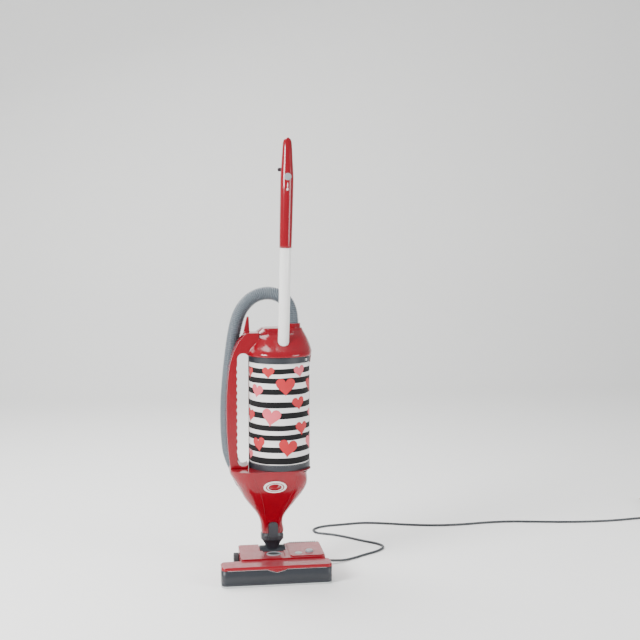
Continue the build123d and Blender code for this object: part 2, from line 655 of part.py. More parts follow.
BADGE_Z = 265.0
BADGE_TILT = 24.0
BADGE = Plane(
    origin=(0, -56.6, BADGE_Z),
    x_dir=(1, 0, 0),
    z_dir=(0, -cos(radians(BADGE_TILT)), -sin(radians(BADGE_TILT))),
)
with BuildPart() as lower_housing:
    loft(sections=[front_plan(row, 0) for row in FRONT_PLANS])
    loft(sections=[front_plan(row, WALL) for row in FRONT_PLANS], mode=Mode.SUBTRACT)
    # the spigot's way in, the motor's bay, and the air hole up to the bag
    with Locations((0, PIVOT_Y, HOUSING_BOTTOM + 20)):
        Cylinder(SPIGOT_R + 4, 60, mode=Mode.SUBTRACT)
    with Locations((MOTOR_X, MOTOR_Y, (MOTOR_BOTTOM + MOTOR_TOP) / 2)):
        Cylinder(MOTOR_R + 2, MOTOR_TOP - MOTOR_BOTTOM + 16, mode=Mode.SUBTRACT)
    with Locations((CORE_X, CORE_Y + 4, HOUSING_TOP)):
        Cylinder(20, 4 * WALL, mode=Mode.SUBTRACT)
    with BuildSketch(BADGE.offset(-1.6)) as badge_seat:
        Ellipse(32.5 + FIT, 19 + FIT)
    extrude(amount=12, mode=Mode.SUBTRACT)
lower_housing.part.label = "lower_housing"
export_step(lower_housing.part, "parts/lower_housing.step")

with BuildPart() as badge:
    with BuildSketch(BADGE.offset(-1.5)) as badge_face:
        Ellipse(32.5, 19)
    extrude(amount=3.0)
badge.part.label = "badge"
export_step(badge.part, "parts/badge.step")

HOSE_ROUTE = (
    (COLLAR_X, COLLAR_Y, DOME_TOP - 2),
    (COLLAR_X, COLLAR_Y, 742),
    (46, 56, 786),
    (0, 58, 808),
    (-52, 62, 796),
    (-88, 68, 756),
    (-104, 71, 700),
    (-114, 73, 630),
    (-123, 75, 550),
    (-128, 76, 470),
    (-127, 77, 390),
    (-119, 80, 322),
    (-90, 88, 268),
)
HOSE_END = Vector(*HOSE_ROUTE[-1])
CUFF_DIR = (HOSE_END - Vector(*HOSE_ROUTE[-2])).normalized()
CUFF_R = HOSE_R + 3.0
CUFF_LEN = 24.0
CUFF_END = HOSE_END + CUFF_DIR * CUFF_LEN
INLET_DIR = Vector(0.8, -0.4, -0.45).normalized()
with BuildPart() as lower_rear_shell:
    loft(sections=[rear_plan(row, 0) for row in REAR_PLANS])
    with BuildSketch(along(CUFF_END, CUFF_DIR)) as inlet_neck:
        Circle(CUFF_R - 1)
    extrude(amount=20)
    with BuildSketch(along(CUFF_END + CUFF_DIR * 16, INLET_DIR)) as inlet_bend:
        Circle(CUFF_R - 2)
    extrude(amount=34)
    loft(sections=[rear_plan(row, WALL) for row in REAR_PLANS], mode=Mode.SUBTRACT)
    with Locations((0, PIVOT_Y, HOUSING_BOTTOM + 20)):
        Cylinder(SPIGOT_R + 4, 60, mode=Mode.SUBTRACT)
    with Locations((MOTOR_X, MOTOR_Y, (MOTOR_BOTTOM + MOTOR_TOP) / 2)):
        Cylinder(MOTOR_R + 2, MOTOR_TOP - MOTOR_BOTTOM + 16, mode=Mode.SUBTRACT)
    with Locations((CORE_X, CORE_Y + 4, HOUSING_TOP)):
        Cylinder(20, 4 * WALL, mode=Mode.SUBTRACT)
lower_rear_shell.part.label = "lower_rear_shell"
export_step(lower_rear_shell.part, "parts/lower_rear_shell.step")

# Suction motor between its two rubber seals, with the fan on top.
with BuildPart() as suction_motor:
    with Locations((MOTOR_X, MOTOR_Y, (MOTOR_BOTTOM + MOTOR_TOP) / 2)):
        Cylinder(MOTOR_R, MOTOR_TOP - MOTOR_BOTTOM)
    fillet(suction_motor.edges().filter_by(GeomType.CIRCLE), 5.0)
suction_motor.part.label = "suction_motor"
export_step(suction_motor.part, "parts/suction_motor.step")

with BuildPart() as motor_seals:
    for low in (MOTOR_BOTTOM - 6, MOTOR_TOP + FIT):
        with BuildSketch(Plane.XY.offset(low)) as seal_plan:
            with Locations((MOTOR_X, MOTOR_Y)):
                Circle(MOTOR_R - 6)
                Circle(MOTOR_R - 13, mode=Mode.SUBTRACT)
        extrude(amount=5.6)
motor_seals.part.label = "motor_seals"
export_step(motor_seals.part, "parts/motor_seals.step")

FAN_R = 30.0
with BuildPart() as motor_fan:
    with Locations((MOTOR_X, MOTOR_Y, MOTOR_TOP + 3.6)):
        Cylinder(6, 4)
    with Locations((MOTOR_X, MOTOR_Y, MOTOR_TOP + 3.4)):
        with PolarLocations(FAN_R / 2, 8):
            Box(FAN_R - 4, 2, 3.4)
    with Locations((MOTOR_X, MOTOR_Y, MOTOR_TOP + 2.2)):
        Cylinder(FAN_R, 1.4)
motor_fan.part.label = "motor_fan"
export_step(motor_fan.part, "parts/motor_fan.step")

# Round housing behind the cover, and the tub that the bag stands in.
with BuildPart() as rear_shell:
    extrude(core_ring(CHAMBER_BOTTOM, CORE_R, CORE_R - WALL), amount=COVER_TOP - CHAMBER_BOTTOM)
    with Locations((CORE_X, CORE_Y - 2 * CORE_R + FIT, (CHAMBER_BOTTOM + COVER_TOP) / 2)):
        Box(4 * CORE_R, 4 * CORE_R, COVER_TOP, mode=Mode.SUBTRACT)
rear_shell.part.label = "rear_shell"
export_step(rear_shell.part, "parts/rear_shell.step")

with BuildPart() as bag_tub:
    with Locations((CORE_X, CORE_Y + 4, (CHAMBER_BOTTOM + TUB_TOP) / 2)):
        Cylinder(TUB_R, TUB_TOP - CHAMBER_BOTTOM)
    with Locations((CORE_X, CORE_Y + 4, (CHAMBER_BOTTOM + TUB_TOP) / 2 + WALL)):
        Cylinder(TUB_R - WALL, TUB_TOP - CHAMBER_BOTTOM, mode=Mode.SUBTRACT)
    with Locations((CORE_X, CORE_Y + 4, CHAMBER_BOTTOM)):
        Cylinder(20, 4 * WALL, mode=Mode.SUBTRACT)
bag_tub.part.label = "bag_tub"
export_step(bag_tub.part, "parts/bag_tub.step")

BAG_TOP = TUB_TOP - 18
with BuildPart() as dust_bag:
    with Locations((CORE_X, CORE_Y + 4, (CHAMBER_BOTTOM + 8 + BAG_TOP) / 2)):
        Cylinder(TUB_R - WALL - 6, BAG_TOP - CHAMBER_BOTTOM - 8)
    fillet(dust_bag.edges().filter_by(GeomType.CIRCLE), 14)
dust_bag.part.label = "dust_bag"
export_step(dust_bag.part, "parts/dust_bag.step")

with BuildPart() as bag_collar:
    with Locations((CORE_X, CORE_Y + 4, BAG_TOP + FIT + 1.5)):
        Cylinder(TUB_R - WALL - 2, 3)
        Cylinder(17, 3, mode=Mode.SUBTRACT)
bag_collar.part.label = "bag_collar"
export_step(bag_collar.part, "parts/bag_collar.step")

# ---- pull-off cover: dark rims and grille, filter inside, printed sleeve outside
COVER_LOW = CHAMBER_BOTTOM + FIT
COVER_HIGH = COVER_TOP - 2 * FIT
RIM_IN = CORE_R - 21.0
SLEEVE_T = 3.6
GRILLE_T = 3.4
SLEEVE_IN = CORE_R - SLEEVE_T
GRILLE_IN = SLEEVE_IN - FIT - GRILLE_T
LATCH_ANGLE = 36.0
LATCH_W = 12.0
LATCH_H = 8.0
LATCH_T = 5.0
LATCH_Z = COVER_HIGH - RIM_H / 2
LATCH_OUT = Vector(cos(radians(LATCH_ANGLE)), -sin(radians(LATCH_ANGLE)), 0)
LATCH_FACE = Vector(CORE_X, CORE_Y, LATCH_Z) + LATCH_OUT * (CORE_R + 1.6)
with BuildPart() as filter_frame:
    extrude(front_half(COVER_LOW, CORE_R, RIM_IN), amount=RIM_H)
    extrude(front_half(COVER_HIGH - RIM_H, CORE_R, RIM_IN), amount=RIM_H)
    extrude(
        front_half(COVER_LOW + RIM_H, GRILLE_IN + GRILLE_T, GRILLE_IN),
        amount=COVER_HIGH - COVER_LOW - 2 * RIM_H,
    )
    # windows of the grille
    window_rows = 5
    window_pitch = (COVER_HIGH - COVER_LOW - 2 * RIM_H) / window_rows
    with Locations((CORE_X, CORE_Y, (COVER_LOW + COVER_HIGH) / 2)):
        with GridLocations(1, 1, 1, 1):
            for level in range(window_rows):
                for slot in range(5):
                    angle = -150 + 30 * slot
                    reach = GRILLE_IN + GRILLE_T / 2
                    spot = (
                        reach * cos(radians(angle)),
                        reach * sin(radians(angle)),
                        (level - (window_rows - 1) / 2) * window_pitch,
                    )
                    with Locations(Location(spot, (0, 0, angle))):
                        Box(12, 34, window_pitch - 10, mode=Mode.SUBTRACT)
    # pocket of the latch
    with BuildSketch(Plane(origin=LATCH_FACE, z_dir=LATCH_OUT)) as pocket:
        Rectangle(LATCH_H + 2 * FIT, LATCH_W + 2 * FIT, rotation=90)
        Rectangle(LATCH_W + 2 * FIT, LATCH_H + 2 * FIT, rotation=90)
    extrude(amount=-12, mode=Mode.SUBTRACT)
filter_frame.part.label = "filter_frame"
export_step(filter_frame.part, "parts/filter_frame.step")

with BuildPart() as cover_latch:
    with BuildSketch(Plane(origin=LATCH_FACE, z_dir=LATCH_OUT)) as latch_face:
        Circle(LATCH_H / 2)
    extrude(amount=-LATCH_T)
    fillet(cover_latch.edges().filter_by(GeomType.CIRCLE), 0.8)
cover_latch.part.label = "cover_latch"
export_step(cover_latch.part, "parts/cover_latch.step")

with BuildPart() as exhaust_filter:
    extrude(
        front_half(COVER_LOW + RIM_H + FIT, GRILLE_IN - FIT, RIM_IN + 1),
        amount=COVER_HIGH - COVER_LOW - 2 * RIM_H - 2 * FIT,
    )
exhaust_filter.part.label = "exhaust_filter"
export_step(exhaust_filter.part, "parts/exhaust_filter.step")

with BuildPart() as filter_sleeve:
    extrude(
        front_half(COVER_LOW + RIM_H + FIT, CORE_R - FIT, SLEEVE_IN),
        amount=COVER_HIGH - COVER_LOW - 2 * RIM_H - 2 * FIT,
    )
filter_sleeve.part.label = "filter_sleeve"
export_step(filter_sleeve.part, "parts/filter_sleeve.step")

# ---- dome over the bag housing: height, left, right, front, back, two corner radii
LID_R = CORE_R + 3.0
LID_LEFT = CORE_X - LID_R
LID_RIGHT = CORE_X + LID_R
DOME_PLANS = (
    (COVER_TOP, LID_LEFT, LID_RIGHT, CORE_Y - LID_R, CORE_Y + LID_R, LID_R - 5, LID_R - 5),
    (646, LID_LEFT, LID_RIGHT + 1, -63, 111, LID_R - 9, LID_R - 7),
    (660, LID_LEFT + 4, LID_RIGHT - 2, -43, 109, LID_R - 21, LID_R - 17),
    (680, LID_LEFT + 14, LID_RIGHT - 10, -19, 103, LID_R - 39, LID_R - 35),
    (695, LID_LEFT + 28, LID_RIGHT - 18, 4, 97, LID_R - 55, LID_R - 51),
    (DOME_TOP, LID_LEFT + 44, LID_RIGHT - 22, 20, 88, LID_R - 67, LID_R - 65),
)


def dome_plan(row, inset):
    """One outline of the dome, inset from its skin; the inside is open at the bottom."""
    height, left, right, front, back, front_radius, back_radius = row
    level = height
    if inset and height == DOME_TOP:
        level = height - inset
    return plan(
        level, left + inset, right - inset, front + inset, back - inset,
        front_radius - inset, back_radius - inset,
    )


with BuildPart() as dome_form:
    loft(sections=[dome_plan(row, 0) for row in DOME_PLANS])

with BuildPart() as tube_hole:
    with BuildSketch(HANDLE) as hole_section:
        Circle(TUBE_R + FIT)
    extrude(amount=TUBE_LEN / 2)

with BuildPart() as dome_lid:
    loft(sections=[dome_plan(row, 0) for row in DOME_PLANS])
    loft(sections=[dome_plan(row, LID_R - CORE_R) for row in DOME_PLANS], mode=Mode.SUBTRACT)
    # pointed skirt at the right side
    with BuildSketch(Plane.YZ.offset(LID_RIGHT - 1.6)) as skirt_side:
        with BuildLine():
            Polyline((4, 645), (58, 645), (40, 606), (34, 605), (4, 645))
        make_face()
    extrude(amount=3.0)
    add(tube_hole.part, mode=Mode.SUBTRACT)
    with BuildSketch(Plane.XY.offset(DOME_TOP - 30)) as collar_hole:
        with Locations((COLLAR_X, COLLAR_Y)):
            Circle(HOSE_R + 4 + FIT)
    extrude(amount=60, mode=Mode.SUBTRACT)
dome_lid.part.label = "dome_lid"
export_step(dome_lid.part, "parts/dome_lid.step")

# ---- carry handle: a rail up the left side, with the shoulder at its top
with BuildPart() as carry_rail:
    with BuildSketch(Plane.XZ.offset(-RAIL_FRONT)) as rail_face:
        with BuildLine():
            Spline(
                (-122, CHAMBER_BOTTOM),
                (-130, 389),
                (RAIL_OUT, 460),
                (-129, 545),
                (-120, 612),
                (-109, 648),
                (-93, 677),
                (-72, 696),
            )
            Polyline((-72, 696), (-40, 696), (-40, 640), (WINDOW_RIGHT - 3, 640), (-72, CHAMBER_BOTTOM))
            Line((-72, CHAMBER_BOTTOM), (-122, CHAMBER_BOTTOM))
        make_face()
        window_w = WINDOW_RIGHT - RAIL_IN
        with Locations(((RAIL_IN + WINDOW_RIGHT) / 2, (WINDOW_LOW + WINDOW_HIGH) / 2)):
            SlotOverall(WINDOW_HIGH - WINDOW_LOW, window_w, rotation=90, mode=Mode.SUBTRACT)
        with Locations((WINDOW_RIGHT, (WINDOW_LOW + WINDOW_HIGH) / 2)):
            Rectangle(window_w, WINDOW_HIGH - WINDOW_LOW - window_w, mode=Mode.SUBTRACT)
        scallop_pitch = (WINDOW_HIGH - WINDOW_LOW - 2 * window_w) / GRIP_SCALLOPS
        with Locations((RAIL_IN + 9, (WINDOW_LOW + WINDOW_HIGH) / 2)):
            with GridLocations(1, scallop_pitch, 1, GRIP_SCALLOPS):
                Circle(scallop_pitch / 2 + 1.5, mode=Mode.SUBTRACT)
    extrude(amount=-(SPLIT_Y - RAIL_FRONT))
    # the fin that keeps the hose on its side
    with BuildSketch(Plane.XZ.offset(-SPLIT_Y + 8)) as fin_face:
        with BuildLine():
            Polyline((-84, 676), (-70, 739), (-64, 739), (-62, 676), (-84, 676))
        make_face()
    extrude(amount=-14)
    add(dome_form.part, mode=Mode.SUBTRACT)
carry_rail.part.label = "carry_rail"
export_step(carry_rail.part, "parts/carry_rail.step")

# ---- hose: from its collar in the dome, over behind the tube, down outside the rail
with BuildPart() as hose:
    with BuildLine() as hose_line:
        FilletPolyline(*HOSE_ROUTE, radius=corner_radii(HOSE_ROUTE))
    with BuildSketch(Plane(origin=HOSE_ROUTE[0], z_dir=(0, 0, 1))) as hose_section:
        Circle(HOSE_R)
        Circle(HOSE_R - 3.0, mode=Mode.SUBTRACT)
    sweep()
hose.part.label = "hose"
export_step(hose.part, "parts/hose.step")

with BuildPart() as hose_collar:
    with BuildSketch(Plane.XY.offset(DOME_TOP - 16)) as collar_plan:
        with Locations((COLLAR_X, COLLAR_Y)):
            Circle(HOSE_R + 4)
            Circle(HOSE_R + RUN, mode=Mode.SUBTRACT)
    extrude(amount=28)
    chamfer(hose_collar.edges().group_by(Axis.Z)[-1], 0.9)
hose_collar.part.label = "hose_collar"
export_step(hose_collar.part, "parts/hose_collar.step")

with BuildPart() as hose_cuff:
    with BuildSketch(Plane(origin=HOSE_END, z_dir=CUFF_DIR)) as cuff_section:
        Circle(CUFF_R)
    extrude(amount=CUFF_LEN)
    chamfer(hose_cuff.edges().filter_by(GeomType.CIRCLE), 1.2)
hose_cuff.part.label = "hose_cuff"
export_step(hose_cuff.part, "parts/hose_cuff.step")

# ---- tube and its socket
with BuildPart() as tube_socket:
    with BuildSketch(HANDLE.offset(-SOCKET_WALL)) as socket_section:
        Circle(TUBE_R + SOCKET_WALL)
    extrude(amount=70)
    with BuildSketch(HANDLE) as socket_bore:
        Circle(TUBE_R + RUN)
    extrude(amount=80, mode=Mode.SUBTRACT)
tube_socket.part.label = "tube_socket"
export_step(tube_socket.part, "parts/tube_socket.step")

with BuildPart() as handle_tube:
    with BuildSketch(HANDLE) as tube_section:
        Circle(TUBE_R)
        Circle(TUBE_R - 1.4, mode=Mode.SUBTRACT)
    extrude(amount=TUBE_LEN)
handle_tube.part.label = "handle_tube"
export_step(handle_tube.part, "parts/handle_tube.step")

# ---- handle: height up the tube, width, depth, shift to the rear
GRIP_PLANS = (
    (0, 34.5, 38, 0),
    (40, 35.5, 40, 0),
    (160, 37.0, 42, 0),
    (190, 37.2, 41, 1),
    (215, 35.0, 38, 3),
    (245, 31.0, 34, 6),
    (276, 27.5, 30, 9),
    (292, 25.0, 27, 11),
    (301, 19.0, 21, 12),
    (GRIP_LEN, 9.0, 10, 13),
)

def grip_half(row, side):
    """Half an oval of the handle, across its line; side is -1 in front and +1 behind."""
    height, width, depth, shift = row
    with BuildSketch(HANDLE.offset(GRIP_LOW + height)) as oval:
        with Locations((0, shift)):
            Ellipse(width / 2, depth / 2)
        with Locations((0, shift + side * depth)):
            Rectangle(2 * width, 2 * depth, mode=Mode.INTERSECT)
    return oval.sketch


BUTTON_RISE = 2.6
BUTTON_FACE = Plane(
    origin=HANDLE.from_local_coords(Vector(0, -TUBE_R - 3.0, BUTTON_H)),
    x_dir=HANDLE.x_dir,
    z_dir=(0, -1, 0),
)
HOOK_H = 578.0
HOOK_FACE = Plane(
    origin=HANDLE.from_local_coords(Vector(0, 21.6, HOOK_H)),
    x_dir=HANDLE.x_dir,
    z_dir=(0, 1, 0),
)
for name, side in (("front", -1), ("rear", 1)):
    with BuildPart() as handle_shell:
        loft(sections=[grip_half(row, side) for row in GRIP_PLANS], ruled=True)
        # the tube's bore, the switch bay, and the holes for the button and the hook
        with BuildSketch(HANDLE.offset(GRIP_LOW - 1)) as grip_mouth:
            Circle(TUBE_R + RUN)
        extrude(amount=TUBE_LEN + 2 - GRIP_LOW, mode=Mode.SUBTRACT)
        with BuildSketch(HANDLE.offset(TUBE_LEN - 1)) as switch_bay:
            with Locations((0, 2)):
                Rectangle(20, 22)
        extrude(amount=76, mode=Mode.SUBTRACT)
        if side < 0:
            with BuildSketch(BUTTON_FACE.offset(-9)) as button_hole:
                Circle(BUTTON_R + FIT)
            extrude(amount=30, mode=Mode.SUBTRACT)
        else:
            with BuildSketch(HOOK_FACE.offset(-10)) as hook_hole:
                Circle(4.0 + RUN)
            extrude(amount=20, mode=Mode.SUBTRACT)
    handle_shell.part.label = f"handle_{name}_shell"
    export_step(handle_shell.part, f"parts/handle_{name}_shell.step")

with BuildPart() as power_button:
    with BuildSketch(BUTTON_FACE.offset(-4)) as button_face:
        Circle(BUTTON_R)
    extrude(amount=4 + BUTTON_RISE)
    fillet(power_button.edges().filter_by(GeomType.CIRCLE).sort_by(Axis.Y)[0], 1.2)
power_button.part.label = "power_button"
export_step(power_button.part, "parts/power_button.step")

with BuildPart() as power_switch:
    with BuildSketch(BUTTON_FACE.offset(-23)) as switch_face:
        Rectangle(15, 22)
    extrude(amount=12.4)
power_switch.part.label = "power_switch"
export_step(power_switch.part, "parts/power_switch.step")

# Upper lead hook turns on the back of the handle; the lower one is fixed to the housing.
with BuildPart() as upper_lead_hook:
    with BuildSketch(HOOK_FACE.offset(-6)) as hook_stem:
        Circle(4.0)
    extrude(amount=9)
    with BuildSketch(HOOK_FACE.offset(3)) as hook_tab:
        with Locations((-8, 0)):
            RectangleRounded(32, 10, 4)
    extrude(amount=5)
upper_lead_hook.part.label = "upper_lead_hook"
export_step(upper_lead_hook.part, "parts/upper_lead_hook.step")

with BuildPart() as lower_lead_hook:
    with BuildSketch(Plane.YZ.offset(CORE_X - 9)) as hook_side:
        with BuildLine():
            Polyline(
                (CORE_Y + CORE_R - 1, 340),
                (REAR_Y, 340),
                (REAR_Y, 312),
                (REAR_Y - 3, 312),
                (REAR_Y - 3, 333),
                (CORE_Y + CORE_R - 1, 333),
                (CORE_Y + CORE_R - 1, 340),
            )
        make_face()
    extrude(amount=18)
    extrude(core_ring(300, CORE_R + RUN, 10), amount=60, mode=Mode.SUBTRACT)
lower_lead_hook.part.label = "lower_lead_hook"
export_step(lower_lead_hook.part, "parts/lower_lead_hook.step")

# ================================================================ MAINS LEAD (on the floor)
CORD_ROUTE = (
    (DECK_RIGHT + GLAND_LEN, GLAND_Y, GLAND_Z),
    (206, 63, 5.6),
    (247, 88, CORD_R),
    (292, 121, CORD_R),
    (338, 150, CORD_R),
    (366, 188, CORD_R),
    (352, 226, CORD_R),
    (312, 257, CORD_R),
    (270, 303, CORD_R),
    (224, 344, CORD_R),
    (172, 366, CORD_R),
    (168, 412, CORD_R),
    (212, 443, CORD_R),
    (276, 451, CORD_R),
    (344, 464, CORD_R),
    (412, 448, CORD_R),
    (486, 420, CORD_R),
    (572, 398, CORD_R),
    (662, 394, CORD_R),
    (752, 408, CORD_R),
    (842, 410, CORD_R),
    (932, 392, CORD_R),
    (1022, 376, CORD_R),
    (1112, 368, CORD_R),
    (1202, 371, CORD_R),
    (1290, 386, CORD_R),
    (1368, 393, CORD_R),
    (COIL_X - 6, COIL_Y - COIL_R, CORD_R + 3),
)
with BuildPart() as mains_cord:
    with BuildLine() as cord_line:
        FilletPolyline(*CORD_ROUTE, radius=corner_radii(CORD_ROUTE))
    with BuildSketch(Plane(origin=CORD_ROUTE[0], z_dir=cord_line.line % 0)) as cord_section:
        Circle(CORD_R)
    sweep()
mains_cord.part.label = "mains_cord"
export_step(mains_cord.part, "parts/mains_cord.step")
cord_length = sum(edge.length for edge in cord_line.line.edges())

# the put-away length, as the outer shape of a neat round coil
with BuildPart() as cord_coil:
    with BuildSketch(Plane(origin=(COIL_X, COIL_Y, 0), x_dir=(1, 0, 0), z_dir=(0, -1, 0))) as bundle:
        with Locations((COIL_R, COIL_H / 2 + 0.1)):
            RectangleRounded(2 * COIL_HALF, COIL_H - 0.2, 7)
    revolve(axis=Axis((COIL_X, COIL_Y, 0), (0, 0, 1)))
cord_coil.part.label = "cord_coil"
export_step(cord_coil.part, "parts/cord_coil.step")

PLUG_Y = COIL_Y + 112.0
PLUG_TAIL_X = COIL_X + 20.0
PLUG_TAIL_LEN = 26.0
PLUG_HEAD_LEN = 22.0
PLUG_FACE_X = PLUG_TAIL_X - PLUG_TAIL_LEN - PLUG_HEAD_LEN
TAIL_ROUTE = (
    (COIL_X + COIL_R, COIL_Y + 6, COIL_H - 8),
    (COIL_X + COIL_R + 2, COIL_Y + 36, COIL_H - 12),
    (COIL_X + COIL_R + 9, COIL_Y + 64, 11),
    (COIL_X + COIL_R + 9, COIL_Y + 92, 11),
    (COIL_X + COIL_R - 8, PLUG_Y - 1, 15),
    (PLUG_TAIL_X, PLUG_Y, PLUG_R),
)
with BuildPart() as cord_tail:
    with BuildLine() as tail_line:
        FilletPolyline(*TAIL_ROUTE, radius=corner_radii(TAIL_ROUTE))
    with BuildSketch(Plane(origin=TAIL_ROUTE[0], z_dir=tail_line.line % 0)) as tail_section:
        Circle(CORD_R)
    sweep()
cord_tail.part.label = "cord_tail"
export_step(cord_tail.part, "parts/cord_tail.step")
tail_length = sum(edge.length for edge in tail_line.line.edges())

with BuildPart() as plug_body:
    with BuildSketch(Plane.YZ.offset(PLUG_TAIL_X)) as tail_end:
        with Locations((PLUG_Y, PLUG_R)):
            Circle(CORD_R + 1.4)
    with BuildSketch(Plane.YZ.offset(PLUG_TAIL_X - PLUG_TAIL_LEN)) as tail_head:
        with Locations((PLUG_Y, PLUG_R)):
            Circle(PLUG_R - 5)
    loft()
    with BuildSketch(Plane.YZ.offset(PLUG_TAIL_X - PLUG_TAIL_LEN)) as plug_head:
        with Locations((PLUG_Y, PLUG_R)):
            Circle(PLUG_R)
    extrude(amount=-PLUG_HEAD_LEN)
    fillet(plug_body.edges().filter_by(GeomType.CIRCLE).sort_by(Axis.X)[0], 1.5)
    with BuildSketch(Plane.YZ.offset(PLUG_FACE_X)) as pin_holes:
        with Locations((PLUG_Y, PLUG_R)):
            with GridLocations(PLUG_PIN_GAP, 1, 2, 1):
                Circle(PLUG_SHANK_R)
    extrude(amount=PLUG_SHANK_LEN, mode=Mode.SUBTRACT)
plug_body.part.label = "plug_body"
export_step(plug_body.part, "parts/plug_body.step")

with BuildPart() as plug_pins:
    with BuildSketch(Plane.YZ.offset(PLUG_FACE_X)) as pins:
        with Locations((PLUG_Y, PLUG_R)):
            with GridLocations(PLUG_PIN_GAP, 1, 2, 1):
                Circle(PLUG_PIN_R)
    extrude(amount=-PLUG_PIN_LEN)
    with BuildSketch(Plane.YZ.offset(PLUG_FACE_X)) as shanks:
        with Locations((PLUG_Y, PLUG_R)):
            with GridLocations(PLUG_PIN_GAP, 1, 2, 1):
                Circle(PLUG_SHANK_R)
    extrude(amount=PLUG_SHANK_LEN)
plug_pins.part.label = "plug_pins"
export_step(plug_pins.part, "parts/plug_pins.step")

# ---------------------------------------------------------------- figures for the report
for title, route, length, tube, radius, bore in (
    ("mains_cord", CORD_ROUTE, cord_length, mains_cord.part, CORD_R, 0.0),
    ("cord_tail", TAIL_ROUTE, tail_length, cord_tail.part, CORD_R, 0.0),
    ("hose", HOSE_ROUTE, sum(edge.length for edge in hose_line.line.edges()), hose.part, HOSE_R,
     HOSE_R - 3.0),
):
    section = pi * (radius**2 - bore**2)
    print(f"{title}: {length:.0f} mm along the line, volume ratio {tube.volume / section / length:.4f}")
    print("  radii", [round(value) for value in corner_radii(route)])
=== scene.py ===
"""Looks of an upright bagged vacuum cleaner: finishes, fine meshes, lead, floor, light and camera.

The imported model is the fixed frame. X runs to the right as seen from the front, the front faces -Y,
Z is up and the floor is at 0. Lengths in the classes are millimetres.
"""

import logging
import math
from dataclasses import dataclass
from enum import Enum
from typing import Sequence

import bpy
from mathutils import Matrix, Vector


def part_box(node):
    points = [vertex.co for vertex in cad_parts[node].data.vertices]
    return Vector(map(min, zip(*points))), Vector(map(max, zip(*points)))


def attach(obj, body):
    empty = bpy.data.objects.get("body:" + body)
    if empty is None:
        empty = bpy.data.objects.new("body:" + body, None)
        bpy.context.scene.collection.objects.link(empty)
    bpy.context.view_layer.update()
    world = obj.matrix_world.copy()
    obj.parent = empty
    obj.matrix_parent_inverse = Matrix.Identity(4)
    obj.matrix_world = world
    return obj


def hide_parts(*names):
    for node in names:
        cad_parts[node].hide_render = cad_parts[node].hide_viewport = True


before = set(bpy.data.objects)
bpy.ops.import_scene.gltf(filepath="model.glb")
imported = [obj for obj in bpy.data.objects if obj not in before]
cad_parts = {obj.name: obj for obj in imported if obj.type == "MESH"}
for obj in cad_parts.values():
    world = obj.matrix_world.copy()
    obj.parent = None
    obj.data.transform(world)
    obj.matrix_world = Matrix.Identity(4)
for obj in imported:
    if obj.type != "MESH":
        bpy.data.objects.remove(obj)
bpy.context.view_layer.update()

LOG = logging.getLogger("upright_cleaner")
MM = 0.001
Point = tuple[float, float, float]
Route = tuple[Point, ...]
Pairs = tuple[tuple[float, float], ...]
Mesh = tuple[list[Vector], list[list[int]]]
Tree = bpy.types.NodeTree
Node = bpy.types.Node
Socket = bpy.types.NodeSocket
Piece = bpy.types.Object


def linear(hex_colour: str) -> tuple[float, float, float, float]:
    """Turns an sRGB hex colour into linear light.

    Args:
        hex_colour: colour such as "#B3121C".

    Returns:
        Red, green, blue and alpha, each 0 to 1.
    """
    parts = [int(hex_colour[i : i + 2], 16) / 255 for i in (1, 3, 5)]
    light = [c / 12.92 if c <= 0.04045 else ((c + 0.055) / 1.055) ** 2.4 for c in parts]
    return (light[0], light[1], light[2], 1.0)


def add_node(
    tree: Tree, kind: str, settings: dict | None = None, links: dict | None = None
) -> Node:
    """Adds one node with its settings and its links.

    Args:
        tree: node tree that the node joins.
        kind: name of the shader node.
        settings: values by input name, input number or attribute name.
        links: output sockets by the input name or number that they feed.

    Returns:
        The new node.
    """
    node = tree.nodes.new(f"ShaderNode{kind}")
    for name, value in (settings or {}).items():
        if isinstance(name, str) and name in node.bl_rna.properties:
            setattr(node, name, value)
        else:
            node.inputs[name].default_value = value
    for name, socket in (links or {}).items():
        tree.links.new(socket, node.inputs[name])
    return node


class Relief(Enum):
    """How the skin of a finish is shaped at close range."""

    SPARKED = "fine pits of a spark-eroded mould"
    POLISHED = "almost flat, with long faint swirls"
    ORANGE_PEEL = "low waves of sprayed powder paint"
    FIBRES = "short crossed fibres"
    BRUSHED = "lines along the part"


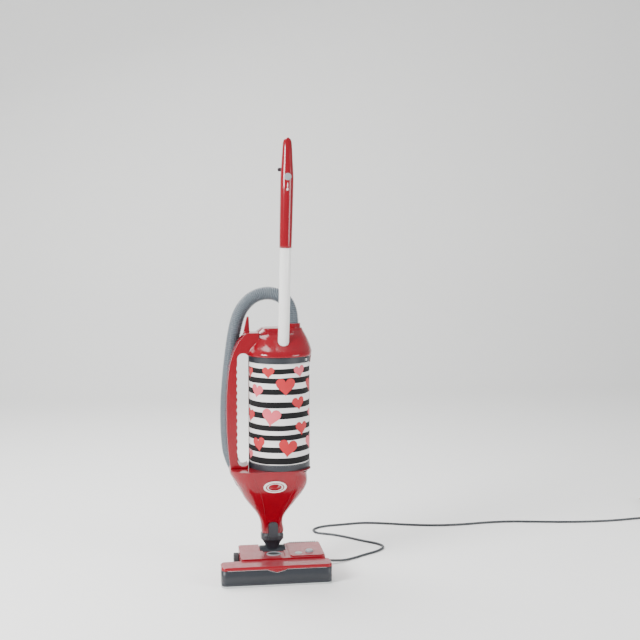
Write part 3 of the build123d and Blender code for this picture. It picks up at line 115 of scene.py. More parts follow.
@dataclass(frozen=True)
class Finish:
    """One real finish: base colour, second colour in its mottle, gloss and relief."""

    name: str
    slot: str
    colour: str
    mottle: str
    roughness: float
    relief: Relief = Relief.SPARKED
    grain_mm: float = 1.0
    height_mm: float = 0.02
    roughness_spread: float = 0.08
    metallic: float = 0.0
    coat: float = 0.0
    specular: float = 0.5
    sheen: float = 0.0
    transmission: float = 0.0
    patch_mm: float = 60.0
    patch_amount: float = 0.35
    dust: str = ""
    dust_amount: float = 0.0

    def grain(self, tree: Tree, place: Socket) -> Socket:
        """Draws the height of the skin.

        Args:
            tree: tree of the material.
            place: point on the object in metres.

        Returns:
            Height, 0 to 1.
        """
        scale = 1000.0 / self.grain_mm
        stretch = (1.0, 1.0, 0.04) if self.relief is Relief.BRUSHED else (1.0, 1.0, 1.0)
        mapped = add_node(tree, "Mapping", {"Scale": stretch}, {"Vector": place})
        if self.relief is Relief.FIBRES:
            fibre = add_node(
                tree, "TexVoronoi",
                {"feature": "DISTANCE_TO_EDGE", "Scale": scale},
                {"Vector": mapped.outputs[0]},
            )
            return fibre.outputs["Distance"]
        detail = {
            Relief.SPARKED: 4.0, Relief.POLISHED: 1.0, Relief.ORANGE_PEEL: 0.5, Relief.BRUSHED: 2.0
        }
        grain = add_node(
            tree, "TexNoise",
            {"Scale": scale, "Detail": detail[self.relief], "Roughness": 0.55},
            {"Vector": mapped.outputs[0]},
        )
        return grain.outputs[0]

    def paint(self, tree: Tree, coords: Node) -> tuple[Socket, Socket]:
        """Mixes the colour of the finish from its patches and its dust.

        Args:
            tree: tree of the material.
            coords: texture coordinate node.

        Returns:
            The colour and the patch mask, 0 to 1.
        """
        patches = add_node(
            tree, "TexNoise",
            {"Scale": 1000.0 / self.patch_mm, "Detail": 5.0, "Roughness": 0.6},
            {"Vector": coords.outputs["Object"]},
        )
        mask = add_node(
            tree, "MapRange",
            {"From Min": 0.35, "From Max": 0.75, "To Max": self.patch_amount},
            {"Value": patches.outputs[0]},
        )
        mixed = add_node(
            tree, "Mix",
            {"data_type": "RGBA", 6: linear(self.colour), 7: linear(self.mottle)},
            {0: mask.outputs[0]},
        )
        if not self.dust:
            return mixed.outputs[2], mask.outputs[0]
        facing = add_node(tree, "SeparateXYZ", {}, {0: coords.outputs["Normal"]})
        settled = add_node(
            tree, "MapRange",
            {"From Min": 0.75, "From Max": 1.0, "To Max": self.dust_amount},
            {"Value": facing.outputs[2]},
        )
        uneven = add_node(
            tree, "Math", {"operation": "MULTIPLY"}, {0: settled.outputs[0], 1: patches.outputs[0]}
        )
        dusty = add_node(
            tree, "Mix",
            {"data_type": "RGBA", 7: linear(self.dust)},
            {0: uneven.outputs[0], 6: mixed.outputs[2]},
        )
        return dusty.outputs[2], mask.outputs[0]

    def material(self) -> bpy.types.Material:
        """Builds the material once and gives the same one after that.

        Returns:
            The material.
        """
        known = bpy.data.materials.get(self.name)
        if known:
            return known
        material = bpy.data.materials.new(self.name)
        material.use_nodes = True
        tree = material.node_tree
        tree.nodes.clear()
        coords = add_node(tree, "TexCoord")
        colour, mask = self.paint(tree, coords)
        height = self.grain(tree, coords.outputs["Object"])
        bump = add_node(
            tree, "Bump", {"Strength": 1.0, "Distance": self.height_mm * MM}, {"Height": height}
        )
        gloss = add_node(
            tree, "MapRange",
            {"To Min": self.roughness, "To Max": min(1.0, self.roughness + self.roughness_spread)},
            {"Value": mask},
        )
        settings = {
            "Metallic": self.metallic,
            "Coat Weight": self.coat,
            "Coat Roughness": 0.06,
            "Specular IOR Level": self.specular,
            "Sheen Weight": self.sheen,
            "Transmission Weight": self.transmission,
        }
        shader = add_node(
            tree, "BsdfPrincipled", settings,
            {"Base Color": colour, "Roughness": gloss.outputs[0], "Normal": bump.outputs[0]},
        )
        add_node(tree, "OutputMaterial", {}, {"Surface": shader.outputs[0]})
        material.diffuse_color = linear(self.colour)
        return material

    def dress(self, piece: Piece) -> None:
        """Gives a piece this finish and no other."""
        piece.data.materials.clear()
        piece.data.materials.append(self.material())


@dataclass(frozen=True)
class PrintedPolyesterSleeve(Finish):
    """Knitted polyester printed with dark bands between white ones."""

    low: float = 327.0
    high: float = 615.0
    # Heights of each dark band's lower and upper edge.
    bands: Pairs = ()
    axis: tuple[float, float] = (20.0, 21.0)
    radius: float = 87.0
    ink: str = "#08080A"
    yarn_mm: float = 1.6
    sag_mm: float = 6.0
    sag_span_mm: float = 90.0

    def paint(self, tree: Tree, coords: Node) -> tuple[Socket, Socket]:
        """Prints the bands over the cloth's own colour.

        Args:
            tree: tree of the material.
            coords: texture coordinate node.

        Returns:
            The colour and the patch mask, 0 to 1.
        """
        cloth, mask = super().paint(tree, coords)
        sag = add_node(
            tree, "TexNoise",
            {"Scale": 1000.0 / self.sag_span_mm, "Detail": 1.0},
            {"Vector": coords.outputs["Object"]},
        )
        place = add_node(tree, "SeparateXYZ", {}, {0: coords.outputs["Object"]})
        moved = add_node(
            tree, "Math",
            {"operation": "MULTIPLY_ADD", 1: self.sag_mm * MM},
            {0: sag.outputs[0], 2: place.outputs[2]},
        )
        # Half the sag is added to both ends, so the bands keep their heights on average.
        half_sag = self.sag_mm / 2
        level = add_node(
            tree, "MapRange",
            {"From Min": (self.low + half_sag) * MM, "From Max": (self.high + half_sag) * MM},
            {"Value": moved.outputs[0]},
        )
        ramp = add_node(tree, "ValToRGB", {}, {0: level.outputs[0]})
        ramp.color_ramp.interpolation = "CONSTANT"
        stops = ramp.color_ramp.elements
        stops[0].color = (0, 0, 0, 1)
        stops[1].position = 1.0
        stops[1].color = (0, 0, 0, 1)
        span = self.high - self.low
        for bottom, top in self.bands:
            for edge, shade in ((bottom, 1.0), (top, 0.0)):
                stop = stops.new((edge - self.low) / span)
                stop.color = (shade, shade, shade, 1)
        printed = add_node(
            tree, "Mix", {"data_type": "RGBA", 7: linear(self.ink)}, {0: ramp.outputs[0], 6: cloth}
        )
        return printed.outputs[2], mask

    def grain(self, tree: Tree, place: Socket) -> Socket:
        """Draws knitted ribs round the drum, coarser than real yarn so that they show.

        Args:
            tree: tree of the material.
            place: point on the object in metres.

        Returns:
            Height, 0 to 1.
        """
        centre = (-self.axis[0] * MM, -self.axis[1] * MM, 0.0)
        moved = add_node(tree, "Mapping", {"Location": centre}, {"Vector": place})
        flat = add_node(tree, "SeparateXYZ", {}, {0: moved.outputs[0]})
        turn = add_node(
            tree, "Math", {"operation": "ARCTAN2"}, {0: flat.outputs[1], 1: flat.outputs[0]}
        )
        around = add_node(
            tree, "Math",
            {"operation": "MULTIPLY", 1: self.radius * MM * 2 * math.pi * 1000 / self.yarn_mm},
            {0: turn.outputs[0]},
        )
        along = add_node(
            tree, "Math",
            {"operation": "MULTIPLY", 1: 2 * math.pi * 1000 / self.yarn_mm},
            {0: flat.outputs[2]},
        )
        wale = add_node(tree, "Math", {"operation": "SINE"}, {0: around.outputs[0]})
        course = add_node(tree, "Math", {"operation": "SINE"}, {0: along.outputs[0]})
        knit = add_node(
            tree, "Math", {"operation": "MULTIPLY"}, {0: wale.outputs[0], 1: course.outputs[0]}
        )
        return knit.outputs[0]


# Moulded ABS from a polished mould: deep clear red, sharp highlights, faint dust on its flats.
GLOSS_RED_ABS = Finish(
    "gloss red moulded ABS", "red_gloss", "#820015", "#68000F", 0.13, Relief.POLISHED, 16, 0.03,
    0.08, coat=0.15, specular=0.4, dust="#A85A62", dust_amount=0.16,
)
# The same ABS on the floor head, dulled by the dust that settles on its top.
DUSTY_RED_ABS = Finish(
    "gloss red moulded ABS with settled dust", "red_gloss", "#860016", "#700010", 0.18,
    Relief.POLISHED, 16, 0.04, 0.16, coat=0.1, specular=0.4, patch_mm=25, dust="#B07A80",
    dust_amount=0.5,
)
# Painted shade: the same ABS, darker than the panel round it, laid as a narrow line in each moulded
# crease to stand for the shade that falls there.
CREASE_SHADE_RED_ABS = Finish(
    "painted crease shade on gloss red ABS", "red_gloss", "#7A0008", "#660006", 0.3, Relief.POLISHED, 16
)
# Moulded polypropylene from a spark-eroded mould: soft broad sheen over dark grey.
SATIN_DARK_POLYPROPYLENE = Finish(
    "satin dark grey moulded polypropylene", "dark_plastic", "#22252B", "#2C2F35", 0.4,
    Relief.SPARKED, 1.0, 0.03, dust="#8A8884", dust_amount=0.25,
)
# Matt dark polypropylene for parts that are rubbed on the floor.
MATT_DARK_POLYPROPYLENE = Finish(
    "matt charcoal moulded polypropylene", "dark_plastic", "#1F2125", "#2C2D30", 0.6,
    Relief.SPARKED, 0.8, 0.04,
)
# Pale grey ABS strip: light and satin, with a broad soft highlight.
SATIN_PALE_ABS = Finish("satin pale grey ABS", "pale_strip", "#B9BCBC", "#A3A6A6", 0.38)
# Grey ABS knobs and buttons, satin with finger shine.
SATIN_GREY_ABS = Finish("satin mid grey ABS knob", "grey_knob", "#8D9296", "#7B8084", 0.32)
# White moulded ABS: clean bright ground for the badge, with a low gloss.
WHITE_ABS = Finish(
    "white moulded ABS badge", "badge_white", "#E6E4E0", "#D6D3CD", 0.25, Relief.POLISHED, 8
)
# Nickel plate on brass pins: warm grey metal, drawn lines.
NICKEL_PLATE = Finish(
    "nickel plated brass", "nickel", "#C9C3B6", "#AFA99C", 0.22, Relief.BRUSHED, 0.8, 0.01,
    metallic=1.0,
)
# Clear moulded acrylic: glassy, with what is under it showing through.
CLEAR_ACRYLIC = Finish(
    "clear moulded acrylic", "clear_lens", "#D9E4E2", "#C4D2D0", 0.06, Relief.POLISHED, 6, 0.01,
    transmission=0.6,
)
# Needled wool felt: soft, no shine, short fibres.
GREY_FELT = Finish(
    "needled grey felt", "felt", "#6B6A66", "#57564F", 0.95, Relief.FIBRES, 1.4, 0.25, sheen=0.4
)
# Zinc-plated turned steel: cold grey shine with fine turning lines.
ZINC_STEEL = Finish(
    "zinc plated turned steel", "steel", "#A9ABAE", "#8E9094", 0.3, Relief.BRUSHED, 0.8, 0.01,
    metallic=1.0,
)
# Pressed steel motor can with a dull passivated skin.
MOTOR_CAN = Finish(
    "passivated pressed steel", "motor_can", "#8C8D88", "#77776F", 0.45, Relief.BRUSHED, 1.2,
    0.02, metallic=0.9,
)
# Moulded natural rubber: dark, matt, bloom in patches.
MOULDED_RUBBER = Finish(
    "moulded black rubber", "rubber_black", "#1E1F20", "#2D2D2C", 0.72, Relief.SPARKED, 0.7, 0.05
)
# Moulded rubber tread, a little greyer than the seals because it picks up floor dust.
TYRE_RUBBER = Finish(
    "moulded tyre rubber", "tyre_rubber", "#26272A", "#3A3A3A", 0.7, Relief.SPARKED, 0.8, 0.06
)
# Nylon bristle in tufts: fine crossed strands.
NYLON_BRISTLE = Finish(
    "black nylon bristle", "bristle", "#1B1B1C", "#333230", 0.55, Relief.FIBRES, 0.9, 0.6
)
# Glass-fibre circuit board: even green under a thin lacquer shine.
GREEN_BOARD = Finish("lacquered glass fibre board", "board", "#1F5A36", "#2F6E45", 0.35)
# Powder-coated steel tube: hard white paint with low orange-peel waves.
POWDER_COATED_STEEL = Finish(
    "white powder coated steel tube", "white_tube", "#E9E8E6", "#DAD8D4", 0.17,
    Relief.ORANGE_PEEL, 2.4, 0.03, 0.1, coat=0.6,
)
# Blow-moulded polyethylene hose: soft grey, slightly waxy.
WAXY_POLYETHYLENE = Finish(
    "grey blow moulded polyethylene", "hose_grey", "#5C656C", "#4C555B", 0.4, Relief.POLISHED, 9,
    0.03,
)
# Knitted polyester with pigment print: matt and soft, bands of ink.
PRINTED_SLEEVE = PrintedPolyesterSleeve(
    "printed knitted polyester", "sleeve_print", "#E4E1E0", "#D2CFCE", 0.85, height_mm=0.12,
    sheen=0.05, specular=0.3, patch_mm=35, patch_amount=0.5, bands=((330, 348), (362, 378),
    (397, 413), (426, 441), (459, 476), (490, 506), (527, 542), (558, 574), (585, 600)),
)
# Pigment ink of the printed hearts.
HEART_INK = Finish(
    "red pigment print on knit", "sleeve_print", "#B00A18", "#C2303E", 0.7, Relief.FIBRES, 1.6,
    0.1, sheen=0.2,
)
# The same ink thinned to rose: paler, as dull as the cloth.
ROSE_INK = Finish(
    "rose pigment print on knit", "sleeve_print", "#D24A5A", "#DE808A", 0.7, Relief.FIBRES, 1.6,
    0.1, sheen=0.2,
)
# Pleated filter fleece: off-white, dry and matt.
FILTER_FLEECE = Finish(
    "pleated filter fleece", "filter_felt", "#D8D6CE", "#C5C2B8", 0.9, Relief.FIBRES, 1.2, 0.15,
    sheen=0.2,
)
# Kraft bag paper: brown and matt, with coarse creased fibres.
BAG_PAPER = Finish(
    "creased kraft bag paper", "bag_paper", "#C9AE86", "#B89C73", 0.88, Relief.FIBRES, 3.0, 0.4
)
# Extruded PVC flex: dark grey with a soft sheen along its length.
PVC_LEAD = Finish(
    "extruded dark grey PVC flex", "cord_pvc", "#33363A", "#41454A", 0.38, Relief.POLISHED, 6,
    0.03,
)
# Moulded PVC plug: the same grey with a duller, finely pitted skin.
PVC_PLUG = Finish("moulded dark grey PVC plug", "plug_pvc", "#2E3135", "#3A3D41", 0.45)

CAD_FINISHES: dict[Finish, tuple[str, ...]] = {
    MATT_DARK_POLYPROPYLENE: (
        "sole_plate", "brush_bearings", "suction_duct", "brush_roller", "left_wheel_hub",
        "right_wheel_hub", "bag_tub", "bag_collar", "power_switch", "motor_fan",
    ),
    GREY_FELT: ("front_glides",),
    SATIN_PALE_ABS: ("bumper_strip", "cover_latch"),
    SATIN_DARK_POLYPROPYLENE: (
        "front_visor", "release_pedal", "neck_knuckle", "neck_sleeve", "hose_cuff",
        "lower_lead_hook", "filter_frame", "upper_lead_hook",
    ),
    DUSTY_RED_ABS: ("head_cover",),
    SATIN_GREY_ABS: ("pedal_ring", "brush_button", "power_button"),
    CLEAR_ACRYLIC: ("status_lens",),
    MOTOR_CAN: ("brush_motor", "suction_motor"),
    MOULDED_RUBBER: ("drive_belt", "lead_gland", "motor_seals"),
    GREEN_BOARD: ("control_board",),
    ZINC_STEEL: ("trunnion_pins", "wheel_axles", "head_screws", "motor_pulley", "swivel_clip"),
    PVC_PLUG: ("plug_body",),
    NICKEL_PLATE: ("plug_pins",),
    NYLON_BRISTLE: ("brush_tufts",),
    TYRE_RUBBER: ("left_tyre", "right_tyre"),
    GLOSS_RED_ABS: (
        "lower_housing", "lower_rear_shell", "rear_shell", "dome_lid", "carry_rail", "hose_collar",
        "tube_socket", "handle_front_shell", "handle_rear_shell",
    ),
    WHITE_ABS: ("badge",),
    BAG_PAPER: ("dust_bag",),
    POWDER_COATED_STEEL: ("handle_tube",),
    FILTER_FLEECE: ("exhaust_filter",),
    PRINTED_SLEEVE: ("filter_sleeve",),
}


def link(name: str, data: bpy.types.ID) -> Piece:
    """Puts an object with its data into the scene."""
    piece = bpy.data.objects.new(name, data)
    bpy.context.scene.collection.objects.link(piece)
    return piece


def mesh_piece(
    name: str, corners: Sequence[Sequence[float]], faces: Sequence[Sequence[int]], finish: Finish
) -> Piece:
    """Makes a smooth-shaded mesh object in its finish.

    Args:
        name: object name.
        corners: points in metres.
        faces: corner numbers of each face.
        finish: what it is made of.

    Returns:
        The object, linked to the scene.
    """
    mesh = bpy.data.meshes.new(name)
    mesh.from_pydata([tuple(c) for c in corners], [], [tuple(f) for f in faces])
    mesh.validate()
    mesh.polygons.foreach_set("use_smooth", [True] * len(mesh.polygons))
    piece = link(name, mesh)
    finish.dress(piece)
    return piece


def turns(count: int) -> list[float]:
    """Gives equal turns round a circle, in radians."""
    return [2 * math.pi * k / count for k in range(count)]


def squared(turn: float, power: float) -> tuple[float, float]:
    """Gives a point of a unit circle that is pushed towards a square by a power below 1."""
    x, y = math.cos(turn), math.sin(turn)
    return math.copysign(abs(x) ** power, x), math.copysign(abs(y) ** power, y)


def quads(first: Sequence[int], second: Sequence[int]) -> list[list[int]]:
    """Gives the faces between two lines of corner numbers."""
    return [[a, b, d, c] for a, b, c, d in zip(first, first[1:], second, second[1:])]


def closed(start: int, count: int) -> list[int]:
    """Gives the corner numbers round a ring, with the first one again at the end."""
    return [*range(start, start + count), start]


def skin(rings: Sequence[Sequence[Vector]], capped: bool = True) -> Mesh:
    """Joins closed rings of equal count into one skin.

    Args:
        rings: rings of points, one after the other.
        capped: whether the first and last rings are closed.

    Returns:
        Points and faces.
    """
    count = len(rings[0])
    corners = [p for ring in rings for p in ring]
    last = len(corners) - count
    faces = []
    for start in range(0, last, count):
        faces += quads(closed(start, count), closed(start + count, count))
    if capped:
        faces += [list(range(count))[::-1], list(range(last, last + count))]
    return corners, faces


def refine(rows: Sequence[Sequence[float]], steps: int) -> list[list[float]]:
    """Adds rows between rows on a smooth line that doesn't overshoot.

    Args:
        rows: rows whose first number rises.
        steps: new rows for each gap.

    Returns:
        All rows.
    """
    def slope(i: int, k: int) -> float:
        """Gives the rise of column k at row i, flat where the column turns."""
        if i in (0, len(rows) - 1):
            a, b = (0, 1) if i == 0 else (i - 1, i)
            return (rows[b][k] - rows[a][k]) / (rows[b][0] - rows[a][0])
        left = (rows[i][k] - rows[i - 1][k]) / (rows[i][0] - rows[i - 1][0])
        right = (rows[i + 1][k] - rows[i][k]) / (rows[i + 1][0] - rows[i][0])
        return 0.0 if left * right <= 0 else 2 * left * right / (left + right)

    out = []
    for i in range(len(rows) - 1):
        gap = rows[i + 1][0] - rows[i][0]
        for s in range(steps):
            t = s / steps
            row = [rows[i][0] + t * gap]
            for k in range(1, len(rows[i])):
                row.append(
                    (2 * t**3 - 3 * t**2 + 1) * rows[i][k]
                    + (t**3 - 2 * t**2 + t) * gap * slope(i, k)
                    + (3 * t**2 - 2 * t**3) * rows[i + 1][k]
                    + (t**3 - t**2) * gap * slope(i + 1, k)
                )
            out.append(row)
    out.append(list(rows[-1]))
    return out


def nurbs(name: str, route: Sequence[Point], radius: float, finish: Finish) -> Piece:
    """Makes one smooth open NURBS line through the pull of its route.

    Args:
        name: object name.
        route: control points in metres.
        radius: radius of the line's skin in metres, 0 for none.
        finish: what it is made of.

    Returns:
        The curve object.
    """
    curve = bpy.data.curves.new(name, "CURVE")
    curve.dimensions = "3D"
    curve.bevel_depth = radius
    curve.bevel_resolution = 5
    curve.resolution_u = 8
    curve.use_fill_caps = True
    spline = curve.splines.new("NURBS")
    spline.points.add(len(route) - 1)
    for control, place in zip(spline.points, route):
        control.co = (*place, 1.0)
    spline.order_u = 3
    spline.use_endpoint_u = True
    piece = link(name, curve)
    finish.dress(piece)
    return piece


def line_points(route: Sequence[Point], step: float) -> list[Vector]:
    """Reads evenly spaced points from the smooth line of a route.

    Args:
        route: control points in metres.
        step: distance between the points in metres.

    Returns:
        Points along the line, ends included.
    """
    guide = nurbs("guide", route, 0.0, GREY_FELT)
    guide.data.resolution_u = 24
    bpy.context.view_layer.update()
    ready = guide.evaluated_get(bpy.context.evaluated_depsgraph_get())
    read = bpy.data.meshes.new_from_object(ready)
    places = [v.co.copy() for v in read.vertices]
    bpy.data.objects.remove(guide)
    lengths = [0.0]
    for a, b in zip(places, places[1:]):
        lengths.append(lengths[-1] + (b - a).length)
    count = max(2, round(lengths[-1] / step))
    out, at = [], 0
    for n in range(count + 1):
        want = lengths[-1] * n / count
        while at < len(places) - 2 and lengths[at + 1] < want:
            at += 1
        part = (want - lengths[at]) / max(1e-9, lengths[at + 1] - lengths[at])
        out.append(places[at].lerp(places[at + 1], min(1.0, part)))
    return out


def rings_along(places: Sequence[Vector], radii: Sequence[float], count: int) -> list[list[Vector]]:
    """Stands rings square to a line without twist.

    Args:
        places: points of the line in metres.
        radii: radius at each point in metres.
        count: points on a ring.

    Returns:
        One ring for each point.
    """
    ahead = (places[1] - places[0]).normalized()
    side = ahead.orthogonal().normalized()
    rings = []
    for i, place in enumerate(places):
        after, before = places[min(i + 1, len(places) - 1)], places[max(i - 1, 0)]
        ahead = (after - before).normalized()
        side = (side - ahead * side.dot(ahead)).normalized()
        other = ahead.cross(side)
        rings.append(
            [place + (side * math.cos(t) + other * math.sin(t)) * radii[i] for t in turns(count)]
        )
    return rings


class CadSkins:
    """Dresses every node carried over from the model."""

    def build(self) -> None:
        """Gives each node its finish and smooth shading."""
        for finish, names in CAD_FINISHES.items():
            for name in names:
                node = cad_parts[name]
                finish.dress(node)
                node.data.polygons.foreach_set("use_smooth", [True] * len(node.data.polygons))
                LOG.info("%s: %s", name, finish.name)


# Width of the heart curve that the printed hearts are scaled from.
HEART_WIDTH = 32


@dataclass
class FilterCover:
    """Printed sleeve over the exhaust filter, its hearts and the trim bead."""

    centre: tuple[float, float] = (20.0, 21.0)
    outer: float = 87.0
    inner: float = 84.8
    low: float = 327.4
    high: float = 613.6
    rim_reach: float = 22.0
    ink_stand: float = 0.12
    ink_edge: float = 0.02
    heart_lean: float = 0.16
    bead_height: float = 325.2
    bead_radius: float = 0.7
    hearts: tuple[tuple[float, float, float, Finish], ...] = (
        (-40, 588, 36, HEART_INK), (54, 590, 38, ROSE_INK), (-78, 534, 42, ROSE_INK),
        (10, 548, 56, HEART_INK), (50, 500, 42, HEART_INK), (-32, 462, 55, ROSE_INK),
        (62, 428, 44, HEART_INK), (-72, 384, 44, HEART_INK), (16, 374, 56, HEART_INK),
        (104, 548, 44, HEART_INK), (104, 384, 46, ROSE_INK), (-112, 462, 44, HEART_INK),
        (-114, 584, 36, HEART_INK), (112, 466, 34, ROSE_INK), (-114, 350, 32, ROSE_INK),
    )

    def on_drum(self, arc: float, height: float, radius: float) -> Vector:
        """Gives the point of the drum at an arc length from its front line.

        Args:
            arc: millimetres round the drum, to the right of the front line.
            height: millimetres above the floor.
            radius: distance from the drum's axis in millimetres.

        Returns:
            The point in metres.
        """
        turn = arc / self.outer - math.pi / 2
        x, y = self.centre
        return Vector((x + radius * math.cos(turn), y + radius * math.sin(turn), height)) * MM

    def swell(self, arc: float, height: float) -> float:
        """Gives how far the cloth stands out, low where it is pulled in under the rims."""
        near_rim = min(height - self.low, self.high - height) / self.rim_reach
        full = min(1.0, max(0.0, near_rim))
        wave = 0.35 * math.sin(arc / 19.0 + height / 47.0)
        wave += 0.25 * math.sin(height / 13.0 - arc / 31.0)
        return full * (0.1 + wave) - 0.5 * (1 - full)

    def sleeve(self) -> Piece:
        """Makes the sleeve as a thin curved sheet with soft waves.

        Returns:
            The sleeve.
        """
        across, up = 150, 96
        reach = self.outer * math.pi / 2 - 0.4
        corners = []
        for depth in (0.0, 1.0):
            for j in range(up + 1):
                height = self.low + (self.high - self.low) * j / up
                for i in range(across + 1):
                    arc = -reach + 2 * reach * i / across
                    radius = self.inner if depth else self.outer + self.swell(arc, height)
                    corners.append(self.on_drum(arc, height, radius))
        row = across + 1
        sheet = row * (up + 1)
        outside, inside = (
            [list(range(start + j * row, start + j * row + row)) for j in range(up + 1)]
            for start in (0, sheet)
        )
        faces = quads(inside[0], outside[0]) + quads(outside[-1], inside[-1])
        for j in range(up):
            faces += quads(outside[j], outside[j + 1]) + quads(inside[j + 1], inside[j])
        faces += quads([line[0] for line in outside], [line[0] for line in inside])
        faces += quads([line[-1] for line in inside], [line[-1] for line in outside])
        sleeve = mesh_piece("printed_sleeve", corners, faces, PRINTED_SLEEVE)
        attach(sleeve, "filter_cover")
        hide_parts("filter_sleeve")
        [self.heart(n, *print_) for n, print_ in enumerate(self.hearts)]
        return sleeve

    def heart(self, number: int, arc: float, height: float, size: float, ink: Finish) -> Piece:
        """Lays one printed heart on the cloth.

        Args:
            number: number for its name.
            arc: place of its middle round the drum, in millimetres.
            height: height of its middle in millimetres.
            size: its width in millimetres.
            ink: its finish.

        Returns:
            The heart.
        """
        points, layers = 48, 7
        lean = self.heart_lean * math.sin(number * 2.1)
        scale = size / HEART_WIDTH
        outline = []
        for t in turns(points):
            x = 16 * math.sin(t) ** 3
            z = 13 * math.cos(t) - 5 * math.cos(2 * t) - 2 * math.cos(3 * t) - math.cos(4 * t) + 2.5
            outline.append(
                (
                    (x * math.cos(lean) - z * math.sin(lean)) * scale,
                    (z * math.cos(lean) + x * math.sin(lean)) * scale,
                )
            )
        corners, faces = [], []
        for layer in range(layers):
            share = 1 - layer / layers
            for x, z in outline:
                at, up = arc + x * share, height + z * share
                stand = self.ink_stand if layer else self.ink_edge
                corners.append(self.on_drum(at, up, self.outer + self.swell(at, up) + stand))
        top = self.outer + self.swell(arc, height) + self.ink_stand
        corners.append(self.on_drum(arc, height, top))
        inner = (layers - 1) * points
        for start in range(0, inner, points):
            faces += quads(closed(start + points, points), closed(start, points))
        ring = closed(inner, points)
        faces += [[a, inner + points, b] for a, b in zip(ring, ring[1:])]
        heart = mesh_piece(f"printed_heart_{number}", corners, faces, ink)
        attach(heart, "filter_cover")
        return heart

    def bead(self) -> Piece:
        """Makes the pale trim bead round the lower rim.

        Returns:
            The bead.
        """
        reach, steps = self.outer * math.pi / 2 - 1.0, 90
        places = [
            self.on_drum(-reach + 2 * reach * k / steps, self.bead_height, self.outer + 0.3)
            for k in range(steps + 1)
        ]
        radii = [self.bead_radius * MM] * len(places)
        bead = mesh_piece("trim_bead", *skin(rings_along(places, radii, 10)), SATIN_PALE_ABS)
        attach(bead, "filter_cover")
        return bead

    def build(self) -> None:
        """Makes the sleeve with its print and the bead."""
        LOG.info("%s, %s, %d hearts", self.sleeve().name, self.bead().name, len(self.hearts))


@dataclass
class Handle:
    """Smooth two-shell grip at the top of the tube, with a printed mark under the button."""

    origin: Point = (26.0, -24.0, 575.0)
    lean_degrees: float = 1.4
    groove: float = 0.45
    foot: tuple[float, float] = (32.6, 34.5)
    front_half: tuple[float, float] = (18.4, 21.0)
    marks: tuple[tuple[float, float, float], ...] = ((533, 15, 2.4), (522, 6.5, 6.5))
    plans: tuple[tuple[float, float, float, float], ...] = (
        (360, 34.5, 38, 0), (400, 35.5, 40, 0), (520, 37, 42, 0), (550, 37.2, 41, 1),
        (575, 35, 38, 3), (605, 31, 34, 6), (636, 27.5, 30, 9), (652, 25, 27, 11),
        (661, 19, 21, 12), (666.4, 9, 10, 13),
    )

    def place(self, across: float, back: float, up: float) -> Vector:
        """Turns a place in the tube's own frame into metres in the object's frame."""
        lean = math.radians(self.lean_degrees)
        return Vector(
            (
                self.origin[0] + across * math.cos(lean) + up * math.sin(lean),
                self.origin[1] + back,
                self.origin[2] - across * math.sin(lean) + up * math.cos(lean),
            )
        ) * MM

    def grip(self) -> Piece:
        """Makes the grip with its parting groove.

        Returns:
            The grip.
        """
        rings = []
        rows = refine(self.plans, 6)
        rows.insert(0, [self.plans[0][0], *self.foot, 0.0])
        for up, width, depth, shift in rows:
            ring = []
            for k, t in enumerate(turns(64)):
                # The shells meet at the sides, where a fine groove is left.
                groove = self.groove if k in (0, 32) else 0.0
                across, back = squared(t, 0.92)
                ring.append(self.place((width / 2 - groove) * across, depth / 2 * back + shift, up))
            rings.append(ring)
        grip = mesh_piece("grip_shells", *skin(rings), GLOSS_RED_ABS)
        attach(grip, "upright")
        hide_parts("handle_front_shell", "handle_rear_shell")
        return grip

    def mark(self, name: str, up: float, length: float, width: float) -> Piece:
        """Prints one small white mark on the front of the grip.

        Args:
            name: object name.
            up: height of its middle along the tube in millimetres.
            length: its length in millimetres.
            width: its width in millimetres.

        Returns:
            The mark.
        """
        rings = []
        for stand in (-0.6, 0.15):
            ring = []
            for t in turns(24):
                across = width / 2 * math.cos(t)
                half_width, half_depth = self.front_half
                depth = half_depth * math.sqrt(max(0.0, 1 - (across / half_width) ** 2)) + stand
                ring.append(self.place(across, -depth, up + length / 2 * math.sin(t)))
            rings.append(ring)
        mark = mesh_piece(name, *skin(rings), WHITE_ABS)
        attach(mark, "upright")
        return mark

    def build(self) -> None:
        """Makes the grip and its marks."""
        LOG.info("%s", self.grip().name)
        for n, (up, length, width) in enumerate(self.marks):
            LOG.info("%s", self.mark(f"grip_mark_{n}", up, length, width).name)


